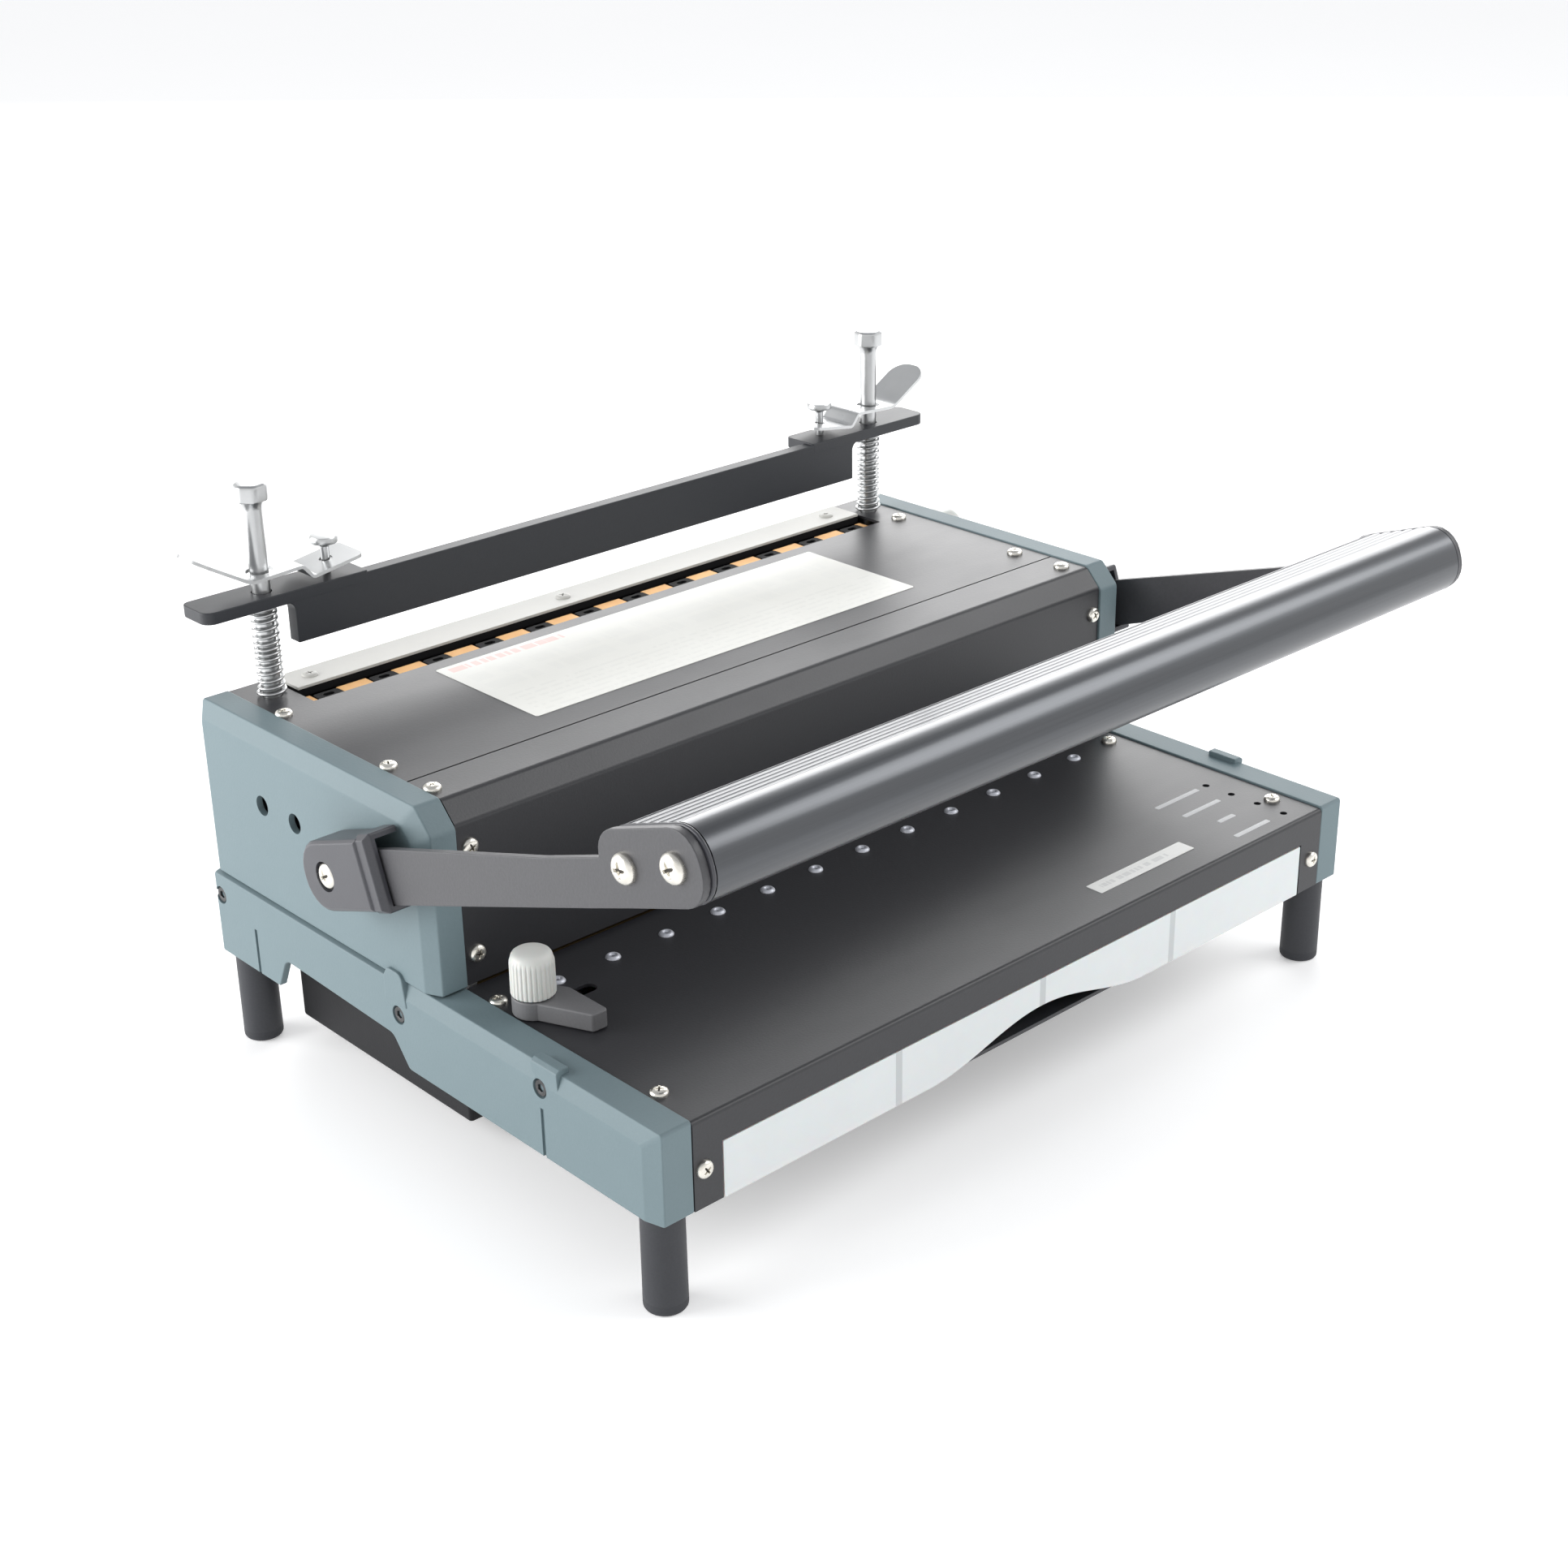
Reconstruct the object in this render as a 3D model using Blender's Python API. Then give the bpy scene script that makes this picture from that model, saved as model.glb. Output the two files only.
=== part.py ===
"""Hand-operated punch and strip-binding machine.

A folded-steel box stands on four tall feet between moulded side casings. A wide lever turns a
shaft whose two eccentrics push a bar of punches through the paper. On top, a spring-borne
pressing bar runs on two posts and is held by a tilting latch plate at each end.

Sizes are in millimetres until a mesh is finished. X runs to the right, Y runs back from the front
face of the base, and Z runs up from the surface the feet stand on.
"""
from math import asin, cos, pi, radians, sin

import bmesh
import bpy
from mathutils import Matrix, Vector

MM = 0.001

# ---- driving dimensions ----------------------------------------------------------------------
MIDDLE_Y = 114.3           # middle of the whole object's depth, which becomes Y = 0
GAP = 0.3                  # left between parts that touch
SHEET = 1.2                # folded steel

COVER_HALF = 169.5         # half width of the steel covers
TABLE_Z = 72.7             # paper table
TOP_Z = 145.0              # top of the machine
BASE_Z = 38.3              # underside of the casings and of the floor plate
FOOT_HEIGHT = 38.0
REAR_Y = 269.5             # back of the casings
PANEL_Y = 121.6            # front panel above the paper throat
PANEL_FOOT_Z = 77.2        # lower edge of that panel
PANEL_CREASE_Z = 137.3     # where the panel leans back
TOP_CREASE_Y = 128.9       # where it meets the top
CHANNEL_Y = 236.5          # front edge of the binding channel in the top
CHANNEL_HALF = 151.5

CASING_IN = 169.8          # casings start beside the covers
CASING_EDGE = 180.5        # outer edge of their flat rim
CASING_OUT = 184.5         # side face of the lower casing
UPPER_OUT = 183.5          # side face of the upper casing
CASING_WALL = 2.5

CHASSIS_IN = 164.2
CHASSIS_OUT = 167.7

PITCH = 25.4               # hole pitch of the binding strip
PIN_COUNT = 12
FIRST_PIN_X = -142.3
PIN_Y = 131.6
PIN_R = 1.5

PIVOT_Y = 161.0            # lever shaft
PIVOT_Z = 114.0
LEVER_TILT = radians(19.6)
SHAFT_R = 7.0
ARM_IN = 190.5
ARM_OUT = 193.5
TUBE_REACH = 188.1         # pivot to the middle of the handle section
TUBE_RISE = 0.55
TUBE_WIDTH = 49.4
TUBE_DEPTH = 25.8
TUBE_CORNER = 11.5
TUBE_END = 185.9
TUBE_WALL = 2.2
HANDLE_SCREWS = (172.8, 197.2)   # distance of the two end screws from the pivot
HUB_OUT = 199.0

THROW = 10.0               # offset of the eccentrics
THROW_PHASE = radians(22.5)
ECCENTRIC_R = 19.0
PUNCH_BAR_Z = (86.3, 90.8)
PUNCH_TIP_Z = 75.5

POST_X = 159.5
POST_Y = 252.5
POST_R = 3.6
POST_TOP = 229.5
BAR_FRONT = 244.5          # pressing bar
BAR_BACK = 262.5
BAR_FOOT_Z = 166.0
FLANGE_Z = (182.3, 187.0)
LATCH_PIN_X = 130.0
LATCH_PIN_Y = 253.5
LATCH_AXIS_Z = 191.7

GUIDE_X = -161.5           # side guide's clamp screw
GUIDE_Y = 93.0
GUIDE_TRAVEL = 24.0
DRAWER_HALF = 156.5
DRAWER_BACK = 150.0
DIVIDERS = (-75.0, 0.0, 75.0)

KNOB_Y = 237.0             # selector on the right-hand side
KNOB_Z = 125.0
KNOB_R = 16.5

FOOT_X = 175.4
FOOT_YS = (9.9, 261.0)
FOOT_R = 7.8

SIDES = (("left", -1), ("right", 1))


# ---- materials -------------------------------------------------------------------------------
def finish(name, colour, roughness, metallic=0.0):
    """A plain Principled material of one colour."""
    material = bpy.data.materials.get(name) or bpy.data.materials.new(name)
    material.use_nodes = True
    shader = material.node_tree.nodes["Principled BSDF"]
    shader.inputs["Base Color"].default_value = (*colour, 1.0)
    shader.inputs["Roughness"].default_value = roughness
    shader.inputs["Metallic"].default_value = metallic
    return material


def casing_plastic():
    return finish("casing_plastic", (0.15, 0.22, 0.25), 0.55)


def cover_paint():
    return finish("cover_paint", (0.03, 0.031, 0.034), 0.42)


def arm_paint():
    return finish("arm_paint", (0.06, 0.06, 0.063), 0.5)


def handle_metal():
    return finish("handle_metal", (0.085, 0.09, 0.1), 0.28, 0.8)


def cap_plastic():
    return finish("cap_plastic", (0.045, 0.045, 0.05), 0.35)


def zinc():
    return finish("zinc", (0.72, 0.72, 0.7), 0.25, 1.0)


def bare_steel():
    return finish("bare_steel", (0.5, 0.5, 0.5), 0.35, 1.0)


def yellow_zinc():
    return finish("yellow_zinc", (0.8, 0.48, 0.16), 0.4, 0.9)


def strip_paint():
    return finish("strip_paint", (0.72, 0.72, 0.69), 0.4)


def foot_rubber():
    return finish("foot_rubber", (0.035, 0.036, 0.04), 0.6)


def drawer_plastic():
    return finish("drawer_plastic", (0.78, 0.8, 0.8), 0.3)


def knob_plastic():
    return finish("knob_plastic", (0.84, 0.84, 0.8), 0.4)


def guide_plastic():
    return finish("guide_plastic", (0.17, 0.17, 0.18), 0.5)


# ---- outlines --------------------------------------------------------------------------------
def arc(centre_a, centre_b, radius, start, end, steps):
    """Points on an arc, with its angles in degrees."""
    turn = radians(end - start) / steps
    angles = [radians(start) + turn * i for i in range(steps + 1)]
    return [(centre_a + radius * cos(a), centre_b + radius * sin(a)) for a in angles]


def rounded(low_a, low_b, high_a, high_b, radius, steps):
    """A rectangle with round corners, anticlockwise from its lower right corner."""
    points = arc(high_a - radius, low_b + radius, radius, -90, 0, steps)
    points += arc(high_a - radius, high_b - radius, radius, 0, 90, steps)
    points += arc(low_a + radius, high_b - radius, radius, 90, 180, steps)
    points += arc(low_a + radius, low_b + radius, radius, 180, 270, steps)
    return points


def lever_point(along, above):
    """A point given along and above the lever's centre line, as (y, z)."""
    y = PIVOT_Y - along * cos(LEVER_TILT) + above * sin(LEVER_TILT)
    z = PIVOT_Z + along * sin(LEVER_TILT) + above * cos(LEVER_TILT)
    return (y, z)


def on_lever(outline):
    return [lever_point(along, above) for along, above in outline]


def tube_outline(grow):
    """The handle's rounded section, grown all round, in lever coordinates."""
    half_width = TUBE_WIDTH / 2 + grow
    half_depth = TUBE_DEPTH / 2 + grow
    return rounded(TUBE_REACH - half_width, TUBE_RISE - half_depth,
                   TUBE_REACH + half_width, TUBE_RISE + half_depth, TUBE_CORNER + grow, 5)


def pin_places():
    return [FIRST_PIN_X + PITCH * i for i in range(PIN_COUNT)]


# ---- solids ----------------------------------------------------------------------------------
def spread(axis, offset, a, b):
    """A 3-D point from a point of an outline: YZ about X, XZ about Y, XY about Z."""
    if axis == "X":
        return (offset, a, b)
    if axis == "Y":
        return (a, offset, b)
    return (a, b, offset)


def loft(mesh, sections, axis="X"):
    """Skin over outlines of equal length, each at its own offset along the axis."""
    loops = [[mesh.verts.new(spread(axis, offset, a, b)) for a, b in outline]
             for offset, outline in sections]
    faces = [mesh.faces.new(loops[0]), mesh.faces.new(loops[-1])]
    count = len(loops[0])
    for low, high in zip(loops, loops[1:]):
        for i in range(count):
            j = (i + 1) % count
            faces.append(mesh.faces.new((low[i], low[j], high[j], high[i])))
    bmesh.ops.recalc_face_normals(mesh, faces=faces)
    return mesh


def prism(mesh, outline, low, high, axis="X"):
    return loft(mesh, [(low, outline), (high, outline)], axis)


def block(mesh, low, high):
    corners = [(low[1], low[2]), (high[1], low[2]), (high[1], high[2]), (low[1], high[2])]
    return prism(mesh, corners, low[0], high[0])


def turned(mesh, profile, centre, axis="Z", sides=24, waves=0, wave_depth=0.0):
    """Turn a profile of (radius, height) pairs; a zero radius closes it at the axis.

    A profile with no zero radius is joined to its own start and makes a ring. Waves press that
    many hollows into the part of the profile that is wider than three quarters of its most.
    """
    widest = max(radius for radius, height in profile)
    loops = []
    for radius, height in profile:
        if radius == 0:
            loops.append([mesh.verts.new(around(axis, centre, 0, 0, height))])
            continue
        ring = []
        for i in range(sides):
            angle = 2 * pi * i / sides
            hollow = wave_depth * (0.5 + 0.5 * cos(waves * angle)) if waves else 0.0
            reach = radius - hollow if radius > 0.75 * widest else radius
            ring.append(mesh.verts.new(around(axis, centre, reach, angle, height)))
        loops.append(ring)
    pairs = list(zip(loops, loops[1:]))
    if profile[0][0] and profile[-1][0]:
        pairs.append((loops[-1], loops[0]))
    faces = []
    for low, high in pairs:
        for i in range(sides):
            j = (i + 1) % sides
            if len(low) == 1:
                faces.append(mesh.faces.new((low[0], high[j], high[i])))
            elif len(high) == 1:
                faces.append(mesh.faces.new((low[i], low[j], high[0])))
            else:
                faces.append(mesh.faces.new((low[i], low[j], high[j], high[i])))
    bmesh.ops.recalc_face_normals(mesh, faces=faces)
    return mesh


def around(axis, centre, radius, angle, height):
    """A point at a radius, an angle and a height along an axis through the centre."""
    a = radius * cos(angle)
    b = radius * sin(angle)
    if axis == "X":
        return (centre[0] + height, centre[1] + a, centre[2] + b)
    return (centre[0] + a, centre[1] + b, centre[2] + height)


def rod(mesh, centre, radius, low, high, axis="Z", sides=24):
    return turned(mesh, [(0, low), (radius, low), (radius, high), (0, high)], centre, axis, sides)


def bush(mesh, centre, inner, outer, low, high, axis="Z", sides=24):
    return turned(mesh, [(inner, low), (outer, low), (outer, high), (inner, high)],
                  centre, axis, sides)


def coil(mesh, centre, coil_r, wire_r, low, high, turns, steps=8, sides=5):
    """A closed-ended helical spring about a vertical axis."""
    total = turns * steps
    rings = []
    for i in range(total + 1):
        angle = 2 * pi * i / steps
        height = low + wire_r + (high - low - 2 * wire_r) * i / total
        ring = []
        for k in range(sides):
            tilt = 2 * pi * k / sides
            reach = coil_r + wire_r * cos(tilt)
            point = around("Z", centre, reach, angle, height + wire_r * sin(tilt))
            ring.append(mesh.verts.new(point))
        rings.append(ring)
    faces = [mesh.faces.new(rings[0]), mesh.faces.new(rings[-1])]
    for low_ring, high_ring in zip(rings, rings[1:]):
        for k in range(sides):
            m = (k + 1) % sides
            faces.append(mesh.faces.new((low_ring[k], low_ring[m], high_ring[m], high_ring[k])))
    bmesh.ops.recalc_face_normals(mesh, faces=faces)
    return mesh


def make(name, mesh, material=None, origin=(0.0, MIDDLE_Y, 0.0)):
    """Turn a mesh in millimetres into an object in metres, with its origin at the given point."""
    bmesh.ops.translate(mesh, verts=mesh.verts, vec=-Vector(origin))
    bmesh.ops.scale(mesh, verts=mesh.verts, vec=(MM, MM, MM))
    data = bpy.data.meshes.new(name)
    mesh.to_mesh(data)
    mesh.free()
    thing = bpy.data.objects.new(name, data)
    thing.location = (origin[0] * MM, (origin[1] - MIDDLE_Y) * MM, origin[2] * MM)
    bpy.context.scene.collection.objects.link(thing)
    if material:
        data.materials.append(material)
        data.shade_smooth()
        data.set_sharp_from_angle(angle=radians(35))
    return thing


def combine(thing, mesh, operation="DIFFERENCE", overlapping=False):
    """Cut a mesh out of an object, or weld it on, with a live Boolean.

    The mesh may hold several solids, and overlapping says that some of them cross each other.
    """
    count = len(thing.modifiers) + 1
    tool = make(f"tool_{thing.name}_{count}", mesh)
    tool.hide_render = True
    tool.display_type = "WIRE"
    step = thing.modifiers.new(f"{operation.lower()}_{count}", "BOOLEAN")
    step.operation = operation
    step.solver = "EXACT"
    step.object = tool
    step.use_self = overlapping
    return thing


# ---- base ------------------------------------------------------------------------------------
def base_pan():
    """Floor plate, with an ear over each foot and an opening into the cutter housing."""
    waist, ear, corner = 163.0, 181.3, 178.0
    half = [(waist, 26.0), (ear, 26.0), (ear, 12.0), (corner, 3.0)]
    far = [(corner, 266.5), (ear, 261.0), (ear, 244.0), (waist, 244.0)]
    outline = [(-x, y) for x, y in reversed(half)] + [(-x, y) for x, y in reversed(far)]
    outline += far + half
    pan = make("base_pan", prism(bmesh.new(), outline, BASE_Z, BASE_Z + 1.5, "Z"), cover_paint())
    return combine(pan, block(bmesh.new(), (-150.0, 224.0, 30.0), (150.0, 248.0, 50.0)))


def feet():
    for row, y in zip(("front", "rear"), FOOT_YS):
        for side, sign in SIDES:
            profile = [(0, 0), (FOOT_R - 0.8, 0), (FOOT_R, 0.8), (FOOT_R, FOOT_HEIGHT),
                       (0, FOOT_HEIGHT)]
            mesh = turned(bmesh.new(), profile, (sign * FOOT_X, y, 0))
            make(f"foot_{row}_{side}", mesh, foot_rubber())


def cutter_housing():
    """Open-topped steel box under the floor, below the binding channel."""
    shell = block(bmesh.new(), (-163.0, 136.0, 8.0), (163.0, 250.0, FOOT_HEIGHT))
    thing = make("cutter_housing", shell, cover_paint())
    return combine(thing, block(bmesh.new(), (-161.5, 137.5, 9.5), (161.5, 248.5, 60.0)))


def chassis_plates():
    """Steel side frames that carry the shaft, the die and the cross bars.

    Each keeps clear of the cable-way that is cut from the lower edge of the casing beside it.
    """
    outline = [(8, 40.5), (8, 71.2), (84, 71.2), (84, 60), (102, 60), (102, 71.2), (123.2, 71.2),
               (123.2, 136.5), (129.5, 143.2), (262, 143.2), (262, 40.5), (230, 40.5), (224, 49),
               (215, 53), (150, 53), (143, 47), (139, 40.5)]
    for side, sign in SIDES:
        mesh = prism(bmesh.new(), outline, sign * CHASSIS_IN, sign * CHASSIS_OUT)
        plate = make(f"{side}_chassis_plate", mesh, bare_steel())
        holes = rod(bmesh.new(), (0, PIVOT_Y, PIVOT_Z), 10.3, sign * 150, sign * 180, "X")
        if sign > 0:
            rod(holes, (0, KNOB_Y, KNOB_Z), 4.3, 150, 180, "X", 16)
        combine(plate, holes)


def cross_bars():
    front = block(bmesh.new(), (-CHASSIS_IN + GAP, 12, 62), (CHASSIS_IN - GAP, 20, 70.5))
    make("front_tie_bar", front, bare_steel())
    rear = block(bmesh.new(), (-CHASSIS_IN + GAP, 246, 118), (CHASSIS_IN - GAP, 259, 134))
    make("rear_tie_bar", rear, bare_steel())


# ---- casings ---------------------------------------------------------------------------------
def lower_casings():
    """Moulded side casings of the base: rim, chamfer, side face and a cut-away lower edge."""
    foot = [(141, BASE_Z), (144, 42), (148, 47), (152, 49.5), (206, 51.6), (215, 51.2),
            (222, 46), (227, BASE_Z)]
    rim = [(0, BASE_Z), *foot, (REAR_Y, BASE_Z), (REAR_Y, 74), (150, 74), (143, 74), (0, 74)]
    face = [(8, BASE_Z), *foot, (REAR_Y - 4, BASE_Z), (REAR_Y - 4, 73), (150, 73), (143, 67),
            (8, 67)]
    wall = CASING_WALL
    room = [(wall, 20), (REAR_Y - wall, 20), (REAR_Y - wall, 71.5), (wall, 71.5)]
    deep = [(wall + 7, 20), (REAR_Y - wall - 3, 20), (REAR_Y - wall - 3, 65), (wall + 7, 65)]
    for side, sign in SIDES:
        skin = [(CASING_IN, rim), (CASING_EDGE, rim), (CASING_OUT, face)]
        mesh = loft(bmesh.new(), [(sign * x, outline) for x, outline in skin])
        casing = make(f"lower_casing_{side}", mesh, casing_plastic())
        inside = [(160.0, room), (179.0, room), (CASING_OUT - wall, deep)]
        combine(casing, loft(bmesh.new(), [(sign * x, outline) for x, outline in inside]))


def upper_casings():
    """Moulded end casings of the tower, with the shaft hole and two vent holes on the left."""
    foot, top, back = 74.4, 145.6, 268.6
    rim = [(120.6, foot), (back, foot), (back, top), (128.5, top), (120.6, 138.0)]
    face = [(128.0, foot), (back - 4, foot), (back - 4, 139.5), (134.0, 139.5), (128.0, 134.5)]
    room = [(123.1, 60), (back - 2.5, 60), (back - 2.5, 143.1), (129.5, 143.1), (123.1, 137.0)]
    deep = [(130.5, 60), (back - 6.5, 60), (back - 6.5, 137), (135.5, 137), (130.5, 133)]
    for side, sign in SIDES:
        skin = [(CASING_IN, rim), (CASING_EDGE, rim), (UPPER_OUT, face)]
        mesh = loft(bmesh.new(), [(sign * x, outline) for x, outline in skin])
        casing = make(f"upper_casing_{side}", mesh, casing_plastic())
        inside = [(160.0, room), (178.5, room), (UPPER_OUT - CASING_WALL, deep)]
        space = loft(bmesh.new(), [(sign * x, outline) for x, outline in inside])
        combine(casing, space)
        holes = rod(bmesh.new(), (0, PIVOT_Y, PIVOT_Z), 8.5, sign * 179, sign * 190, "X")
        if sign < 0:
            for y in (227.1, 204.9):
                rod(holes, (0, y, 114.7), 4.0, -190, -179, "X", 16)
        else:
            rod(holes, (0, KNOB_Y, KNOB_Z), 4.5, 179, 190, "X", 16)
        combine(casing, holes)


# ---- covers ----------------------------------------------------------------------------------
def table_cover():
    """Folded sheet: the paper table and the front face over the drawer."""
    outline = [(0, 38.5), (SHEET, 38.5), (SHEET, TABLE_Z - SHEET), (122.9, TABLE_Z - SHEET),
               (122.9, TABLE_Z), (0, TABLE_Z)]
    mesh = prism(bmesh.new(), outline, -COVER_HALF, COVER_HALF)
    cover = make("table_cover", mesh, cover_paint())
    holes = block(bmesh.new(), (-157.0, -5.0, 30.0), (157.0, 5.0, 60.6))
    slot_half = 2.9
    left, right = GUIDE_X, GUIDE_X + GUIDE_TRAVEL
    ends = arc(right, GUIDE_Y, slot_half, -90, 90, 6) + arc(left, GUIDE_Y, slot_half, 90, 270, 6)
    prism(holes, ends, 65.0, 80.0, "Z")
    return combine(cover, holes)


def top_cover():
    """Folded sheet: front panel, leaning crease and top, with the binding channel cut away."""
    outline = [(PANEL_Y, PANEL_FOOT_Z), (PANEL_Y + SHEET, PANEL_FOOT_Z),
               (PANEL_Y + SHEET, PANEL_CREASE_Z - 0.5), (TOP_CREASE_Y + 0.6, TOP_Z - SHEET),
               (268.2, TOP_Z - SHEET), (268.2, TOP_Z), (TOP_CREASE_Y, TOP_Z),
               (PANEL_Y, PANEL_CREASE_Z)]
    mesh = prism(bmesh.new(), outline, -COVER_HALF, COVER_HALF)
    cover = make("top_cover", mesh, cover_paint())
    holes = block(bmesh.new(), (-CHANNEL_HALF, CHANNEL_Y, 140), (CHANNEL_HALF, 280, 150))
    for sign in (-1, 1):
        rod(holes, (sign * POST_X, POST_Y, 0), POST_R + GAP, 140, 150, "Z", 16)
    return combine(cover, holes)


def rear_cover():
    mesh = block(bmesh.new(), (-COVER_HALF, 267.0, 40.5), (COVER_HALF, 268.2, 143.4))
    make("rear_cover", mesh, cover_paint())


def rear_strip():
    """Pale wear strip behind the binding channel."""
    mesh = block(bmesh.new(), (-150.0, 249.6, 142.0), (150.0, 266.2, 146.2))
    make("rear_strip", mesh, strip_paint())


def anvil_bar():
    """Comb-edged bar that the strip's pins pass beside; its tongues show in the channel."""
    back, notch_y, slot_half = 244.6, 238.6, 5.8
    front = 237.0
    outline = [(-150.5, front), (150.5, front), (150.5, back)]
    for x in reversed(pin_places()):
        outline += [(x + slot_half, back), (x + slot_half, notch_y)]
        outline += [(x - slot_half, notch_y), (x - slot_half, back)]
    outline.append((-150.5, back))
    make("anvil_bar", prism(bmesh.new(), outline, 136.0, 143.4, "Z"), yellow_zinc())


# ---- punch unit ------------------------------------------------------------------------------
def pin_holes(low, high):
    mesh = bmesh.new()
    for x in pin_places():
        rod(mesh, (x, PIN_Y, 0), PIN_R + GAP, low, high, "Z", 8)
    return mesh


def die_and_guide():
    die = block(bmesh.new(), (-163.9, 123.2, 62.0), (163.9, 148.5, TABLE_Z))
    combine(make("die_block", die, yellow_zinc()), pin_holes(50.0, 80.0))
    guide = block(bmesh.new(), (-163.9, 124.0, 77.5), (163.9, 139.0, 82.0))
    combine(make("punch_guide", guide, bare_steel()), pin_holes(70.0, 90.0))


def punch_bar():
    low, high = PUNCH_BAR_Z
    mesh = block(bmesh.new(), (-155.0, 126.0, low), (155.0, 168.0, high))
    bar = make("punch_bar", mesh, bare_steel())
    pins = bmesh.new()
    for x in pin_places():
        rod(pins, (x, PIN_Y, 0), PIN_R, PUNCH_TIP_Z, low + 1.0, "Z", 8)
    return combine(bar, pins, "UNION")


def return_springs():
    for side, sign in SIDES:
        mesh = coil(bmesh.new(), (sign * 151.0, 143.8, 0), 3.2, 0.5, TABLE_Z + GAP,
                    PUNCH_BAR_Z[0] - GAP, 4)
        make(f"return_spring_{side}", mesh, bare_steel())


# ---- lever -----------------------------------------------------------------------------------
LEVER_ORIGIN = (0.0, PIVOT_Y, PIVOT_Z)


def drive_shaft():
    shaft = rod(bmesh.new(), LEVER_ORIGIN, SHAFT_R, -ARM_OUT, ARM_OUT, "X")
    thing = make("drive_shaft", shaft, bare_steel(), LEVER_ORIGIN)
    bores = rod(bmesh.new(), LEVER_ORIGIN, 2.3, ARM_OUT - 9, ARM_OUT + 5, "X", 12)
    rod(bores, LEVER_ORIGIN, 2.3, -ARM_OUT - 5, -ARM_OUT + 9, "X", 12)
    return combine(thing, bores)


def shaft_bushes():
    for side, sign in SIDES:
        mesh = bush(bmesh.new(), LEVER_ORIGIN, SHAFT_R + GAP, 10.0, sign * 162.5, sign * 169.5, "X")
        make(f"shaft_bush_{side}", mesh, yellow_zinc())


def eccentrics():
    """Offset discs; their centre lies ahead of the shaft and a little below it at rest."""
    centre = (0, PIVOT_Y - THROW * cos(THROW_PHASE), PIVOT_Z - THROW * sin(THROW_PHASE))
    for side, sign in SIDES:
        disc = rod(bmesh.new(), centre, ECCENTRIC_R, sign * 98, sign * 110, "X", 36)
        thing = make(f"eccentric_{side}", disc, bare_steel(), LEVER_ORIGIN)
        combine(thing, rod(bmesh.new(), LEVER_ORIGIN, SHAFT_R + GAP, sign * 90, sign * 120, "X"))


def arm_outline():
    """Flat arm: round hub end, slightly tapered shank, and a head of the handle's section."""
    shoulder = 4.4
    corner_a = TUBE_REACH - TUBE_WIDTH / 2 + TUBE_CORNER
    corner_b = TUBE_RISE + TUBE_DEPTH / 2 - TUBE_CORNER
    start = 180 - asin((shoulder - corner_b) / TUBE_CORNER) * 180 / pi
    far = TUBE_REACH + TUBE_WIDTH / 2 - TUBE_CORNER
    low_b = TUBE_RISE - TUBE_DEPTH / 2 + TUBE_CORNER
    head = arc(corner_a, corner_b, TUBE_CORNER, start, 90, 5)
    head += arc(far, corner_b, TUBE_CORNER, 90, 0, 5) + arc(far, low_b, TUBE_CORNER, 0, -90, 5)
    hub = arc(0, -1.8, 10.0, 270, 90, 10)
    return hub + [(40, 7.8), (130, shoulder)] + head + [(60, -12.2), (34, -12.0)]


def handle_arms():
    for side, sign in SIDES:
        mesh = prism(bmesh.new(), on_lever(arm_outline()), sign * ARM_IN, sign * ARM_OUT)
        arm = make(f"handle_arm_{side}", mesh, arm_paint(), LEVER_ORIGIN)
        holes = rod(bmesh.new(), LEVER_ORIGIN, SHAFT_R + GAP, sign * 188, sign * 196, "X")
        combine(arm, screw_holes(holes, sign))


def screw_holes(mesh, sign):
    for reach in HANDLE_SCREWS:
        y, z = lever_point(reach, TUBE_RISE)
        rod(mesh, (0, y, z), 2.3, sign * 180, sign * 196, "X", 12)
    return mesh


def handle_tube():
    outer = prism(bmesh.new(), on_lever(tube_outline(0)), -TUBE_END, TUBE_END)
    tube = make("handle_tube", outer, handle_metal(), LEVER_ORIGIN)
    inner = prism(bmesh.new(), on_lever(tube_outline(-TUBE_WALL)), -TUBE_END - 5, TUBE_END + 5)
    return combine(tube, inner)


def end_caps():
    for side, sign in SIDES:
        mesh = prism(bmesh.new(), on_lever(tube_outline(0.5)), sign * 186.2, sign * 190.2)
        cap = make(f"handle_end_cap_{side}", mesh, cap_plastic(), LEVER_ORIGIN)
        combine(cap, screw_holes(bmesh.new(), sign))


def pan_screw(mesh, centre, sign, face, shank):
    """Pan-head screw lying along X, its head on the face at that X."""
    profile = [(0, -shank), (2.0, -shank), (2.0, GAP), (4.6, GAP), (4.6, 1.3), (3.2, 2.5),
               (0, 2.9)]
    return turned(mesh, [(radius, sign * (face + height)) for radius, height in profile],
                  centre, "X", 16)


def lever_screws():
    for side, sign in SIDES:
        for place, reach in zip(("rear", "front"), HANDLE_SCREWS):
            y, z = lever_point(reach, TUBE_RISE)
            mesh = pan_screw(bmesh.new(), (0, y, z), sign, ARM_OUT, 14.0)
            make(f"handle_screw_{side}_{place}", mesh, zinc(), LEVER_ORIGIN)
        mesh = pan_screw(bmesh.new(), LEVER_ORIGIN, sign, HUB_OUT - 2.2, 9.0)
        make(f"hub_screw_{side}", mesh, zinc(), LEVER_ORIGIN)


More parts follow.
